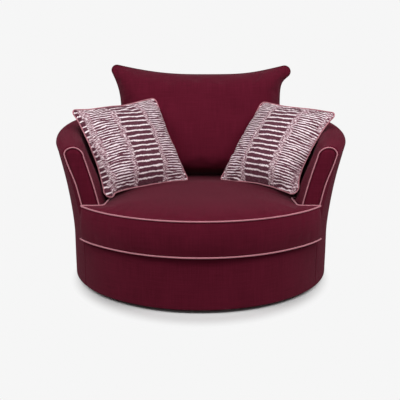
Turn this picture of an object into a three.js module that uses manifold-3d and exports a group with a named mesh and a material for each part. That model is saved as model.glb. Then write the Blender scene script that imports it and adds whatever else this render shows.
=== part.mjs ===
// A round swivel cuddle chair: a deep tub for two on a turntable base, with a loose seat cushion,
// a loose back cushion and two patterned scatter cushions.
// Millimetres, +Z up, the front faces -Y. The origin is on the floor, on the swivel axis.
// Angles round the chair are measured from the front, and grow towards the +X side.
import * as THREE from "three";
import { mergeVertices } from "three/addons/utils/BufferGeometryUtils.js";
import Module from "manifold-3d";

const wasm = await Module();
wasm.setup();

// Clearances and counts that every piece shares
const gap = 0.3; // between pieces that touch
const pressGap = 0.6; // how far a soft body is eased off what presses into it, along one direction
const runningGap = 0.5; // between pieces that turn past each other
const ledgeGap = 1; // between the frame's sloping top and the foam over it
const overrun = 40; // how far a cutting body reaches past what it cuts
const turnSteps = 48; // facets round the chair
const fineSteps = 18; // facets round small turned pieces
const boltSides = 6;
const station = (2 * Math.PI) / turnSteps;

// The drum, finished outside sizes
const drumRadius = 580;
const floorGap = 14; // daylight under the drum
const deckHeight = 226; // top of the platform that the seat cushion lies on

// The tub's wall, finished outside sizes
const wallThickness = 77;
const armFullness = 70; // how far the padding comes in behind an arm front, at the seat
const rollFullness = 36; // the same at the roll
const fullnessStart = 38; // behind the arm front
const fullnessRun = 105; // from none to all of it
const fullnessEnds = [85, 118].map(THREE.MathUtils.degToRad); // where it thins out, from the front
const armHeight = 613; // top of the arms at their front
const backHeight = 715; // top of the tub at its back
const rimRisePower = 2.6; // how early the rim climbs from arm to back
const flareStart = 200; // the wall stands upright up to here, and leans out above
const sideFlare = 64;
const backFlare = 34;
const flarePower = 1.6;
const armFront = 315; // the arms end this far in front of the swivel axis
const rollSteps = 6;
const sideSteps = 5;

// What the wall is made of, from outside to inside
const coverThickness = 2.5;
const boardThickness = 3;
const frameDepth = 25;
const coverReturn = 28; // the inside cover comes over the roll and ends this far below its middle
const hemWidth = 38;
const ribWidth = 18;
const ribAngles = [72, 108, 144, 180, 216, 252, 288].map(THREE.MathUtils.degToRad);
const railHeight = 20;
const armBoardThickness = 12;
const facingThickness = 5;
const facingPipe = 5; // radius of the piping round an arm facing
const facingInset = 13;

// Plywood rings and posts of the drum
const topRingWidth = 104;
const topRingThickness = 18;
const deckPadThickness = 13.4;
const skinThickness = 3;
const postWidth = 45;
const postDepth = 30;
const postCount = 6;

// Seat springs
const springCount = 5;
const springSpacing = 145;
const springWire = 2; // radius
const springHalfWidth = 28;
const springPitch = 52; // from leg to leg
const springBendSteps = 1;
const clipLength = 16;
const clipWidth = 40;
const wireSides = 4;

// Floor board, glides and swivel bearing
const boardSetback = 120; // the board's edge stands this far inside the drum's face
const boardClearance = 10; // the drum's bottom ring turns round the board at this distance
const floorBoardThickness = 18;
const glideCount = 6;
const glideHeight = 6;
const glideRadius = 22;
const glideToeRadius = 18;
const glideInset = 34; // from the board's edge to a glide's middle
const plateSide = 260;
const plateCorner = 20;
const plateThickness = 2.5;
const ballRadius = 4.75;
const ballCount = 12;
const raceRadius = 110;
const raceFloor = 2;
const raceLip = 2; // above the race's floor
const raceLipWidth = 6.5;
const cageHalfWidth = 8;
const cageThickness = 2.3;
const pivotRadius = 8;
const pivotHeadRadius = 13;
const pivotHeadHeight = 6;
const pivotNutHeight = 8;
const pivotTail = 3; // thread showing past the nut
const boltInset = 25; // from a plate's edge to a bolt's middle
const boltRadius = 4;
const boltHeadRadius = 7;
const boltHeadHeight = 5;
const boltGrip = 14; // how far a bolt goes into the wood
const mountRailWidth = 45;
const mountRailHeight = 45;

// Seat cushion
const cushionOverhang = 20; // how far the front of its piping stands past the drum
const cushionPipe = 5; // radius of its piping
const seamHeight = 372; // middle of the upper piping
const cushionCrown = 26; // rise of its top above the upper piping
const borderSwell = 9;
const cushionLapIn = 22; // its underside draws in this far from the lower piping
const crownPower = 3.4;
const crownSteps = 5;
const earRound = 14; // rounding of the piping at the tip of each ear
const pipeSides = 5;

// Pillows: width and height are taken over the ears, and the edges between draw in
const degrees = THREE.MathUtils.degToRad;
const pillowSteps = 12;
const earSharpness = 12; // a higher power keeps the rounding closer to the tip of an ear
const backCushionForm = {
  width: 936,
  height: 620,
  thickness: 290,
  drawIn: 66,
  footDrawIn: 60,
  earRounding: 17,
  fullness: 0.38,
  skew: 0,
};
const scatterForm = {
  width: 466,
  height: 434,
  thickness: 140,
  drawIn: 22,
  footDrawIn: 0,
  earRounding: 10,
  fullness: 0.5,
};
const scatterPipe = 4; // radius of its piping

// Where the middle of each pillow is, how far it is turned about the upright and how far it leans back.
// A scatter cushion is skewed where it slumps: its inner edge stands taller than its outer one.
const backPlace = { at: [0, 361, 642], yaw: 0, lean: degrees(15) };
const scatterPlaces = {
  left: { at: [-312, 25, 577], yaw: degrees(46), lean: degrees(33), skew: 0.08 },
  right: { at: [353, 32, 570], yaw: degrees(-50), lean: degrees(37), skew: -0.1 },
};

// Fabrics, timber and metal
const burgundy = new THREE.MeshStandardMaterial({ color: 0x561c2a, roughness: 0.95 });
const rosePiping = new THREE.MeshStandardMaterial({ color: 0xa55f6d, roughness: 0.9 });
const stripedWeave = new THREE.MeshStandardMaterial({ color: 0xb79aa3, roughness: 0.95 });
const plywood = new THREE.MeshStandardMaterial({ color: 0xc9a879, roughness: 0.7 });
const hardboard = new THREE.MeshStandardMaterial({ color: 0x7a5636, roughness: 0.8 });
const foam = new THREE.MeshStandardMaterial({ color: 0xe6dcc2, roughness: 1 });
const blackBoard = new THREE.MeshStandardMaterial({ color: 0x1d1c1c, roughness: 0.7 });
const blackPlastic = new THREE.MeshStandardMaterial({ color: 0x161616, roughness: 0.6 });
const zincSteel = new THREE.MeshStandardMaterial({ color: 0xb9bcc0, roughness: 0.4, metalness: 0.9 });

// Heights in the stack from the floor to the platform
const floorBoardBottom = glideHeight + gap;
const floorBoardTop = floorBoardBottom + floorBoardThickness;
const lowerPlateBottom = floorBoardTop + gap;
const lowerPlateTop = lowerPlateBottom + plateThickness;
const ballHeight = lowerPlateTop + raceFloor + gap + ballRadius;
const upperPlateBottom = ballHeight + ballRadius + gap + raceFloor;
const upperPlateTop = upperPlateBottom + plateThickness;
const mountRailBottom = upperPlateTop + gap;
const bottomRingBottom = floorGap + coverThickness;
const bottomRingTop = mountRailBottom - gap;
const deckPadBottom = deckHeight - deckPadThickness;
const springBottom = deckPadBottom - gap - 2 * springWire;
const topRingTop = springBottom - gap;
const topRingBottom = topRingTop - topRingThickness;
const wallFoot = topRingTop + gap;
const padFoot = deckHeight + gap;

// Reaches that follow from the sizes
const boardRadius = drumRadius - boardSetback;
const bottomRingInner = boardRadius + boardClearance;
const cushionReach = drumRadius + cushionOverhang;

// Depths into the wall from its outside face
const boardDepth = coverThickness + gap;
const frameOuterDepth = boardDepth + boardThickness + gap;
const frameInnerDepth = frameOuterDepth + frameDepth;
const foamDepth = frameInnerDepth + gap;
const ringOuter = drumRadius - frameOuterDepth;
const topRingInner = ringOuter - topRingWidth;
const facetSag = drumRadius * (1 - Math.cos(station / 2)); // how far a facet cuts inside its circle
const clipReach = drumRadius - wallThickness - facetSag - runningGap;

// A geometry as a solid that can be cut, and back again
function solidOf(geometry) {
  const bare = geometry.index ? geometry.toNonIndexed() : geometry.clone();
  bare.deleteAttribute("normal");
  bare.deleteAttribute("uv");
  const merged = mergeVertices(bare, 1e-3);
  const made = new wasm.Manifold(
    new wasm.Mesh({
      numProp: 3,
      vertProperties: merged.attributes.position.array,
      triVerts: new Uint32Array(merged.index.array),
    }),
  );
  return made;
}

function geometryOf(solid) {
  const cut = solid.getMesh();
  const places = new Float32Array(cut.numVert * 3);
  for (let i = 0; i < cut.numVert; i++) {
    const start = i * cut.numProp;
    places.set(cut.vertProperties.subarray(start, start + 3), i * 3);
  }
  const geometry = new THREE.BufferGeometry();
  geometry.setAttribute("position", new THREE.BufferAttribute(places, 3));
  geometry.setIndex(new THREE.BufferAttribute(new Uint32Array(cut.triVerts), 1));
  geometry.computeVertexNormals();
  return geometry;
}

// A body turned about the vertical axis from a profile of [radius, height] pairs
function turned(profile, steps = turnSteps) {
  const points = profile.map(([r, z]) => new THREE.Vector2(r, z));
  return solidOf(new THREE.LatheGeometry(points, steps).rotateX(Math.PI / 2));
}

// A ring of rectangular section
function ring(inner, outer, bottom, top, steps = turnSteps) {
  return turned([[inner, bottom], [outer, bottom], [outer, top], [inner, top], [inner, bottom]], steps);
}

// A disc
function disc(radius, bottom, top, steps = turnSteps) {
  return turned([[0, bottom], [radius, bottom], [radius, top], [0, top]], steps);
}

function block(from, to) {
  const size = to.map((high, i) => high - from[i]);
  const middle = to.map((high, i) => (high + from[i]) / 2);
  return solidOf(new THREE.BoxGeometry(...size).translate(...middle));
}

// A body swept through stations. Each station has a flat outline, with as many points as the next,
// and a place function from that outline's plane to the chair. The diagonals of its facets always
// climb, so the layers of the wall nest.
function swept(stations, closed = false) {
  const count = stations[0].outline.length;
  const places = stations.flatMap(({ outline, place }) => outline.map((p) => place(p).toArray()));
  const triangles = [];
  const spans = closed ? stations.length : stations.length - 1;
  for (let i = 0; i < spans; i++) {
    const here = i * count;
    const next = ((i + 1) % stations.length) * count;
    for (let j = 0; j < count; j++) {
      const k = (j + 1) % count;
      if (stations[i].outline[k].y > stations[i].outline[j].y) {
        triangles.push(here + j, next + j, next + k, here + j, next + k, here + k);
      } else {
        triangles.push(here + j, next + j, here + k, here + k, next + j, next + k);
      }
    }
  }
  if (!closed) {
    const last = (stations.length - 1) * count;
    for (const [a, b, c] of acrossOutline(stations[0].outline)) triangles.push(a, b, c);
    for (const [a, b, c] of acrossOutline(stations.at(-1).outline)) triangles.push(last + a, last + c, last + b);
  }
  if (enclosed(places, triangles) < 0) triangles.reverse();
  const geometry = new THREE.BufferGeometry();
  geometry.setAttribute("position", new THREE.Float32BufferAttribute(places.flat(), 3));
  geometry.setIndex(triangles);
  return solidOf(geometry);
}

// The triangles across a flat outline, wound the same way round as the outline
function acrossOutline(outline) {
  const way = Math.sign(THREE.ShapeUtils.area(outline));
  return THREE.ShapeUtils.triangulateShape(outline, []).map(([a, b, c]) =>
    Math.sign(THREE.ShapeUtils.area([outline[a], outline[b], outline[c]])) === way ? [a, b, c] : [a, c, b],
  );
}

// The volume inside a closed surface, which is negative when its faces point inwards
function enclosed(places, triangles) {
  let volume = 0;
  const corner = (i) => new THREE.Vector3(...places[triangles[i]]);
  for (let i = 0; i < triangles.length; i += 3) {
    volume += corner(i).dot(corner(i + 1).cross(corner(i + 2))) / 6;
  }
  return volume;
}

// Keeps the part of a body that lies behind, or in front of, an upright plane across the chair
const farAway = drumRadius + sideFlare + overrun;
const behind = (solid, y) =>
  solid.intersect(block([-farAway, y, -overrun], [farAway, farAway, backHeight + overrun]));
const ahead = (solid, y) =>
  solid.intersect(block([-farAway, -farAway, -overrun], [farAway, y, backHeight + overrun]));

// The wall's shape
const aroundTheBack = (angle) => Math.min(angle, 2 * Math.PI - angle);
const armAngle = Math.acos(armFront / drumRadius);
const rollRadius = wallThickness / 2;

function rimHeight(angle) {
  const share = THREE.MathUtils.clamp((aroundTheBack(angle) - armAngle) / (Math.PI - armAngle), 0, 1);
  return armHeight + (backHeight - armHeight) * (1 - (1 - share) ** rimRisePower);
}

const rollHeight = (angle) => rimHeight(angle) - rollRadius;

function outerRadius(angle, z) {
  const towardsBack = THREE.MathUtils.smoothstep(aroundTheBack(angle), Math.PI / 2, Math.PI);
  const flare = THREE.MathUtils.lerp(sideFlare, backFlare, towardsBack);
  const share = THREE.MathUtils.clamp((z - flareStart) / (rollHeight(angle) - flareStart), 0, 1);
  return drumRadius + flare * share ** flarePower;
}

// The wall's thickness. Behind each arm front the padding comes in towards the seat, most of all low down,
// and towards the back it thins out again.
function thicknessAt(angle, z) {
  const around = aroundTheBack(angle);
  const plain = outerRadius(angle, z) - wallThickness;
  const share = THREE.MathUtils.clamp((z - seamHeight) / (rollHeight(angle) - seamHeight), 0, 1);
  const fullness = THREE.MathUtils.lerp(armFullness, rollFullness, share);
  const behind = armFront - plain * Math.cos(angle);
  const fromFront = THREE.MathUtils.smoothstep(behind, fullnessStart, fullnessStart + fullnessRun);
  const beforeBack = 1 - THREE.MathUtils.smoothstep(around, ...fullnessEnds);
  return wallThickness + fullness * fromFront * beforeBack;
}

// The radius of a line that runs inside the tub at a distance from the wall's inner face
function besideWall(angle, z, distance) {
  const innerAt = (a) => outerRadius(a, z) - thicknessAt(a, z);
  const slope = (innerAt(angle + station / 2) - innerAt(angle - station / 2)) / (station * innerAt(angle));
  return innerAt(angle) - distance * Math.hypot(1, slope);
}

// The outside face between two heights at one angle, as [radius, height] pairs. Every layer of the wall
// takes its points from the same rows of facets.
function outsideFace(angle, from, to) {
  const roll = rollHeight(angle);
  const rows = [];
  for (let i = 0; i <= sideSteps; i++) rows.push(THREE.MathUtils.lerp(flareStart, roll, i / sideSteps));
  const onFacet = (z) => {
    if (z <= flareStart) return drumRadius;
    const above = Math.max(1, rows.findIndex((row) => row >= z));
    const [low, high] = z > roll ? rows.slice(-2) : rows.slice(above - 1, above + 1);
    return THREE.MathUtils.mapLinear(z, low, high, outerRadius(angle, low), outerRadius(angle, high));
  };
  const between = rows.slice(0, -1).filter((z) => z - from > gap / 2 && to - z > gap / 2);
  return [from, ...between, to].map((z) => [onFacet(z), z]);
}

const deeper = (face, depth) => face.map(([r, z]) => [r - depth, z]);

// The wall's outline in the upright plane at one angle: up the outside, over the roll and down the
// inside, at a depth below the finished face
function wallPath(angle, depth, outsideFrom, insideTo) {
  const roll = rollHeight(angle);
  const halfWidth = thicknessAt(angle, roll) / 2;
  const middle = outerRadius(angle, roll) - halfWidth;
  const over = [];
  for (let i = 1; i < rollSteps; i++) {
    const turn = (Math.PI * i) / rollSteps;
    over.push([
      middle + (halfWidth - depth) * Math.cos(turn),
      roll + (rollRadius - depth) * Math.sin(turn),
    ]);
  }
  const inside = outsideFace(angle, insideTo, roll).map(([r, z]) => [r - thicknessAt(angle, z) + depth, z]);
  return [...deeper(outsideFace(angle, outsideFrom, roll), depth), ...over, ...inside.reverse()];
}

// The angles that the wall is swept through, from before one arm front to past the other
const firstStation = Math.floor(Math.acos((armFront + overrun) / (drumRadius - wallThickness)) / station);
const wallAngles = [];
for (let i = firstStation; i <= turnSteps - firstStation; i++) wallAngles.push(i * station);

const onAngle = (angle) => (p) =>
  new THREE.Vector3(p.x * Math.sin(angle), -p.x * Math.cos(angle), p.y);

// A layer of the wall, from the section that it has at each angle
function wallLayer(section) {
  return swept(
    wallAngles.map((angle) => ({
      outline: section(angle).map(([r, z]) => new THREE.Vector2(r, z)),
      place: onAngle(angle),
    })),
  );
}

// A layer bounded by the outside face at two depths
const outsideSection = (near, far, bottomAt, topAt) => (angle) => {
  const face = outsideFace(angle, bottomAt(angle), topAt(angle));
  return [...deeper(face, near), ...deeper(face, far).reverse()];
};

// The wall as one solid, drawn in from its finished face by a depth
const wallBody = (depth, foot) => wallLayer((angle) => wallPath(angle, depth, foot, foot));

// Floor base
function floorBoard() {
  const boltAt = plateSide / 2 - boltInset;
  let board = disc(boardRadius, floorBoardBottom, floorBoardTop);
  board = board.subtract(
    disc(pivotHeadRadius + runningGap, -overrun, floorBoardTop + overrun, fineSteps),
  );
  for (const [x, y] of [[1, 1], [1, -1], [-1, 1], [-1, -1]]) {
    const hole = disc(boltRadius + gap, floorBoardTop - boltGrip - gap, floorBoardTop + overrun, boltSides);
    board = board.subtract(hole.translate([x * boltAt, y * boltAt, 0]));
  }
  return board;
}

function glide() {
  return new THREE.LatheGeometry(
    [[0, 0], [glideToeRadius, 0], [glideRadius, glideHeight], [0, glideHeight]].map(
      ([r, z]) => new THREE.Vector2(r, z),
    ),
    fineSteps / 2,
  ).rotateX(Math.PI / 2);
}

// A pressed swivel plate lying on z = 0, with its ball race and bolts standing on its upper side
function swivelPlate(holeRadius, boltXs, boltY) {
  const half = plateSide / 2;
  const outline = new THREE.Shape();
  outline.absarc(half - plateCorner, half - plateCorner, plateCorner, 0, Math.PI / 2);
  outline.absarc(plateCorner - half, half - plateCorner, plateCorner, Math.PI / 2, Math.PI);
  outline.absarc(plateCorner - half, plateCorner - half, plateCorner, Math.PI, 1.5 * Math.PI);
  outline.absarc(half - plateCorner, plateCorner - half, plateCorner, 1.5 * Math.PI, 2 * Math.PI);
  const sheet = new THREE.ExtrudeGeometry(outline, {
    depth: plateThickness,
    bevelEnabled: false,
    curveSegments: 3,
  });
  const floor = plateThickness + raceFloor;
  const lip = floor + raceLip;
  const inner = raceRadius - ballRadius - runningGap;
  const outer = raceRadius + ballRadius + runningGap;
  const race = turned(
    [
      [inner - raceLipWidth, plateThickness / 2],
      [outer + raceLipWidth, plateThickness / 2],
      [outer + raceLipWidth, lip],
      [outer, lip],
      [outer, floor],
      [inner, floor],
      [inner, lip],
      [inner - raceLipWidth, lip],
      [inner - raceLipWidth, plateThickness / 2],
    ],
    fineSteps,
  );
  let plate = solidOf(sheet).add(race);
  plate = plate.subtract(disc(holeRadius, -overrun, overrun, fineSteps));
  const shank = disc(boltRadius, -boltGrip, plateThickness, boltSides);
  const head = disc(boltHeadRadius, plateThickness / 2, plateThickness + boltHeadHeight, boltSides);
  for (const x of boltXs) {
    for (const y of [-boltY, boltY]) plate = plate.add(shank.add(head).translate([x, y, 0]));
  }
  return plate;
}

function ballCage() {
  let cage = ring(
    raceRadius - cageHalfWidth,
    raceRadius + cageHalfWidth,
    ballHeight - cageThickness / 2,
    ballHeight + cageThickness / 2,
    fineSteps,
  );
  for (let i = 0; i < ballCount; i++) {
    const turn = (2 * Math.PI * i) / ballCount;
    const ball = new THREE.SphereGeometry(ballRadius, 6, 3)
      .rotateX(Math.PI / 2)
      .translate(raceRadius * Math.cos(turn), raceRadius * Math.sin(turn), ballHeight);
    cage = cage.add(solidOf(ball));
  }
  return cage;
}

function pivotBolt() {
  const headBottom = lowerPlateBottom - gap - pivotHeadHeight;
  const headTop = lowerPlateBottom - gap;
  const top = upperPlateTop + gap + pivotNutHeight + pivotTail;
  return turned(
    [[0, headBottom], [pivotHeadRadius, headBottom], [pivotHeadRadius, headTop],
      [pivotRadius, headTop], [pivotRadius, top], [0, top]],
    fineSteps,
  );
}

function pivotNut() {
  const bottom = upperPlateTop + gap;
  return disc(pivotHeadRadius, bottom, bottom + pivotNutHeight, 6).subtract(
    disc(pivotRadius + gap, bottom - overrun, bottom + overrun, fineSteps),
  );
}

// Drum
const mountRailAt = plateSide / 2 - boltInset - boltHeadRadius;

function mountRail(side) {
  const x = side * mountRailAt;
  const corner = mountRailAt + mountRailWidth / 2;
  const reach = Math.sqrt(ringOuter ** 2 - corner ** 2) - gap - facetSag;
  let rail = block(
    [x - mountRailWidth / 2, -reach, mountRailBottom],
    [x + mountRailWidth / 2, reach, mountRailBottom + mountRailHeight],
  );
  const boltY = plateSide / 2 - boltInset;
  const hole = disc(boltRadius + gap, mountRailBottom - overrun, upperPlateTop + boltGrip + gap, boltSides);
  for (const y of [-boltY, boltY]) rail = rail.subtract(hole.translate([x, y, 0]));
  return rail;
}

// The deck pad lies on the springs inside the tub, and at the front its edge comes down on the ring. The
// wall's foam stands on its rim, behind the arm boards.
function deckPad() {
  const rest = clipReach + facetSag + gap;
  const edge = drumRadius - boardDepth;
  const pad = turned([[0, deckPadBottom], [rest, deckPadBottom], [rest, wallFoot], [edge, wallFoot],
    [edge, deckHeight], [0, deckHeight]]);
  const outside = (radius) =>
    wallLayer(() => [
      [radius, wallFoot - overrun],
      [farAway, wallFoot - overrun],
      [farAway, deckHeight + overrun],
      [radius, deckHeight + overrun],
    ]);
  const armEnds = ahead(behind(outside(drumRadius - wallThickness - gap), -armFront - gap), frameStart);
  return pad.subtract(armEnds).subtract(behind(outside(drumRadius - foamDepth), frameStart - gap));
}

// A zigzag spring on the plane z = 0, centred on the origin and running along Y
function zigzagSpring(length) {
  const legs = Math.round(length / springPitch) + 1;
  const pitch = length / (legs - 1);
  const bend = pitch / 2;
  const legEnd = springHalfWidth - bend;
  const path = [];
  for (let leg = 0; leg < legs; leg++) {
    const side = leg % 2 ? -1 : 1;
    const y = pitch * leg - length / 2;
    path.push(new THREE.Vector2(-side * legEnd, y));
    if (leg === legs - 1) path.push(new THREE.Vector2(side * legEnd, y));
    else {
      for (let i = 0; i <= springBendSteps; i++) {
        const turn = (Math.PI * i) / (springBendSteps + 1) - Math.PI / 2;
        path.push(
          new THREE.Vector2(side * (legEnd + bend * Math.cos(turn)), y + bend + bend * Math.sin(turn)),
        );
      }
    }
  }
  const wire = cordAlong(path, springWire, wireSides, false, (a, b, c) =>
    new THREE.Vector3(a, b, c + springWire));
  const clip = (y) =>
    block([-clipWidth / 2, y - clipLength / 2, 0], [clipWidth / 2, y + clipLength / 2, 2 * springWire]);
  return wire.add(clip(path[0].y)).add(clip(path.at(-1).y));
}

// A round cord laid along a flat path. place takes a point in the path's plane, and a height above it.
function cordAlong(path, radius, sides, closed, place) {
  const count = path.length;
  const flat = sides % 2 ? 0 : 1 / 2; // a cord with an even number of sides lies on a flat one
  const at = (i) => (closed ? path[(i + count) % count] : path[THREE.MathUtils.clamp(i, 0, count - 1)]);
  return swept(
    path.map((p, i) => {
      const run = at(i + 1).clone().sub(at(i - 1)).normalize();
      const across = new THREE.Vector2(run.y, -run.x);
      const outline = [];
      for (let j = 0; j < sides; j++) {
        const turn = (2 * Math.PI * (j + flat)) / sides;
        outline.push(new THREE.Vector2(radius * Math.cos(turn), radius * Math.sin(turn)));
      }
      return { outline, place: (q) => place(p.x + across.x * q.x, p.y + across.y * q.x, q.y) };
    }),
    closed,
  );
}

// Tub
function insideCover() {
  const layer = wallLayer((angle) => {
    const low = rollHeight(angle) - coverReturn;
    return [
      ...wallPath(angle, 0, low, padFoot),
      ...wallPath(angle, coverThickness, low, padFoot).reverse(),
    ];
  });
  return behind(layer, facingThickness - armFront);
}

function outsideCover() {
  const hem = drumRadius - hemWidth;
  const layer = wallLayer((angle) => {
    const face = outsideFace(angle, floorGap, rollHeight(angle) - coverReturn - gap);
    const inner = deeper(face, coverThickness);
    inner[0] = [inner[0][0], bottomRingBottom - gap];
    return [[hem, floorGap], ...face, ...inner.reverse(), [hem, bottomRingBottom - gap]];
  });
  return behind(layer, facingThickness - armFront);
}

function frontCover() {
  const face = drumRadius - coverThickness;
  const hem = drumRadius - hemWidth;
  const all = turned([[hem, floorGap], [drumRadius, floorGap], [drumRadius, deckHeight], [face, deckHeight],
    [face, bottomRingBottom - gap], [hem, bottomRingBottom - gap], [hem, floorGap]]);
  return ahead(all, facingThickness - armFront - gap);
}

// Foam down the inside and over the roll, with the frame's space left out
function tubFoam() {
  const skin = coverThickness + gap;
  const layer = wallLayer((angle) => {
    const frameTop = rollHeight(angle) + ledgeGap;
    const [, start, ...over] = wallPath(angle, skin, rollHeight(angle) - ledgeGap, padFoot);
    const ledge = THREE.MathUtils.mapLinear(frameTop, start[1], over[0][1], start[0], over[0][0]);
    return [[ledge, frameTop], ...over, ...deeper(outsideFace(angle, padFoot, frameTop), foamDepth)];
  });
  return behind(layer, facingThickness + gap + armBoardThickness + gap - armFront);
}

const armBoardBack = facingThickness + gap + armBoardThickness - armFront;
const frameStart = armBoardBack + gap;
const railBottom = (angle) => rollHeight(angle) - railHeight;

function armBoard(side) {
  const core = behind(wallBody(coverThickness + gap, wallFoot), facingThickness + gap - armFront);
  return halfOf(ahead(core, armBoardBack), side);
}

function armFacing(side) {
  const core = behind(wallBody(facingInset, deckHeight + gap), -armFront - gap);
  return halfOf(ahead(core, facingThickness - armFront - gap), side);
}

const halfOf = (solid, side) =>
  solid.intersect(
    block(
      [side > 0 ? 0 : -farAway, -farAway, -overrun],
      [side > 0 ? farAway : 0, farAway, backHeight + overrun],
    ),
  );

function ribs() {
  const foot = wallFoot + railHeight + gap;
  const layer = wallLayer(
    outsideSection(frameOuterDepth, frameInnerDepth, () => foot, (angle) => railBottom(angle) - gap),
  );
  return ribAngles.map((angle) =>
    layer.intersect(
      block([-ribWidth / 2, -farAway, -overrun], [ribWidth / 2, 0, backHeight + overrun]).rotate([
        0, 0, THREE.MathUtils.radToDeg(angle),
      ]),
    ),
  );
}

const solverRounds = 6;

// Where the wall's outline crosses the plane of the arm fronts, from the outside foot over to the inside
function armOutline(depth, foot) {
  return wallPath(armAngle, depth, foot, foot).map((_, i) => {
    let angle = armAngle;
    for (let round = 0; round < solverRounds; round++) {
      angle = Math.acos(armFront / wallPath(angle, depth, foot, foot)[i][0]);
    }
    const [r, z] = wallPath(angle, depth, foot, foot)[i];
    return new THREE.Vector2(r * Math.sin(angle), z);
  });
}

function facingPiping(side) {
  const middle = facingThickness - armFront - gap - facingPipe;
  return cordAlong(armOutline(facingPipe + gap, deckHeight + facingPipe), facingPipe, pipeSides, false,
    (a, b, c) => new THREE.Vector3(side * a, middle + c, b));
}

// Seat cushion
const lowerSeamHeight = deckHeight + gap + cushionPipe + gap;
const cushionBody = cushionReach - 2 * cushionPipe - gap;
const pipeClearance = 3 * gap;
const pipeSpace = 2 * (cushionPipe + pipeClearance);
const earPlane = -armFront - facingPipe - gap - gap - pipeSpace;

function seatCushion() {
  const crown = (reach, rise) => {
    const profile = [];
    for (let i = 0; i <= crownSteps; i++) {
      const share = Math.sin((Math.PI / 2) * (1 - i / crownSteps));
      profile.push([reach * share, seamHeight + rise * (1 - share ** crownPower)]);
    }
    profile.at(-1)[0] = 0;
    return profile;
  };
  const middle = (lowerSeamHeight + seamHeight) / 2;
  const bottom = deckHeight + gap;
  const round = turned([[0, bottom], [cushionBody - cushionLapIn, bottom], [cushionBody, lowerSeamHeight],
    [cushionBody + borderSwell, middle], ...crown(cushionBody, cushionCrown)]);
  const inTub = outerRadius(Math.PI / 2, seamHeight) - wallThickness - pipeSpace;
  const dome = turned([[0, bottom - overrun], [inTub, bottom - overrun],
    ...crown(inTub, cushionCrown + borderSwell)]);
  const front = block([-farAway, -farAway, 0], [farAway, earPlane, backHeight]);
  const tub = behind(
    wallLayer((angle) => {
      const heights = [bottom - overrun, bottom, lowerSeamHeight, middle, seamHeight, seamHeight + cushionCrown];
      const face = heights.map((z) => [besideWall(angle, z, pipeSpace), z]);
      return [...face, [farAway, heights.at(-1)], [farAway, heights[0]]].reverse();
    }),
    earPlane,
  );
  return round.intersect(dome.add(front)).subtract(tub);
}

// The seat cushion's piping runs round its front, along both ears and round inside the tub
function seatPiping(z) {
  const reach = cushionReach - cushionPipe;
  const earY = earPlane + cushionPipe + gap;
  const wallGap = cushionPipe + pipeClearance;
  const tipAngle = Math.acos(-earY / reach);
  const insideAt = (angle) => besideWall(angle, z, wallGap);
  const path = [];
  const polar = (r, angle) => new THREE.Vector2(r * Math.sin(angle), -r * Math.cos(angle));
  const rounding = earRound / reach;
  for (let i = Math.ceil(-(tipAngle - rounding) / station); i <= (tipAngle - rounding) / station; i++) {
    path.push(polar(reach, i * station));
  }
  path.push(polar(reach, tipAngle - rounding));
  path.push(new THREE.Vector2(polar(reach, tipAngle).x - cushionPipe, earY));
  let cornerAngle = armAngle;
  for (let round = 0; round < solverRounds; round++) cornerAngle = Math.acos(-earY / insideAt(cornerAngle));
  for (let i = Math.ceil((cornerAngle + station / 4) / station); i * station < Math.PI; i++) {
    if (path.at(-1).y === earY) path.push(polar(insideAt(cornerAngle), cornerAngle));
    path.push(polar(insideAt(i * station), i * station));
  }
  const back = polar(insideAt(Math.PI), Math.PI);
  const mirrored = path
    .filter((p) => p.y > earY - cushionPipe && p.x > 0)
    .map((p) => new THREE.Vector2(-p.x, p.y))
    .reverse();
  const tip = new THREE.Vector2(-polar(reach, tipAngle - rounding).x, polar(reach, tipAngle - rounding).y);
  const loop = [...path, back, ...mirrored, tip].filter(
    (p, i, all) => i === 0 || p.distanceTo(all[i - 1]) > cushionPipe,
  );
  return cordAlong(loop, cushionPipe, pipeSides, true, (a, b, c) => new THREE.Vector3(a, b, z + c));
}

// Loose cushions
// A point of a pillow's outline or face. Its width runs along X and its height along Y, and u and v go
// from -1 to 1 across them. The grown share is how far the outline is let out, for piping.
function pillowPoint(form, u, v, grown = 0) {
  const round = form.earRounding * (u * v) ** earSharpness;
  const side = form.width / 2 + grown - form.drawIn * (1 - v * v) - round;
  const foot = v < 0 ? form.footDrawIn * u * u : 0;
  const slump = 1 + form.skew * u * Math.max(v, 0);
  const end = form.height / 2 + grown - form.drawIn * (1 - u * u) - foot - round;
  return new THREE.Vector2(u * side, v * end * slump);
}

// Closer steps towards a pillow's edges
const pillowShare = (i) => Math.sin((Math.PI / 2) * ((2 * i) / pillowSteps - 1));

// A knife-edged pillow whose face looks along +Z
function pillow(form) {
  const places = [];
  const triangles = [];
  const row = pillowSteps + 1;
  for (const face of [1, -1]) {
    const start = places.length / 3;
    for (let j = 0; j <= pillowSteps; j++) {
      for (let i = 0; i <= pillowSteps; i++) {
        const [u, v] = [pillowShare(i), pillowShare(j)];
        const onSeam = i % pillowSteps === 0 || j % pillowSteps === 0;
        const swell = onSeam ? 0 : ((1 - u * u) * (1 - v * v)) ** form.fullness;
        places.push(...pillowPoint(form, u, v).toArray(), (face * form.thickness * swell) / 2);
        if (i === pillowSteps || j === pillowSteps) continue;
        const a = start + j * row + i;
        const [b, c, d] = [a + 1, a + row + 1, a + row];
        triangles.push(...(face > 0 ? [a, b, c, a, c, d] : [a, c, b, a, d, c]));
      }
    }
  }
  const geometry = new THREE.BufferGeometry();
  geometry.setAttribute("position", new THREE.Float32BufferAttribute(places, 3));
  geometry.setIndex(triangles);
  return solidOf(geometry);
}

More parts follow.
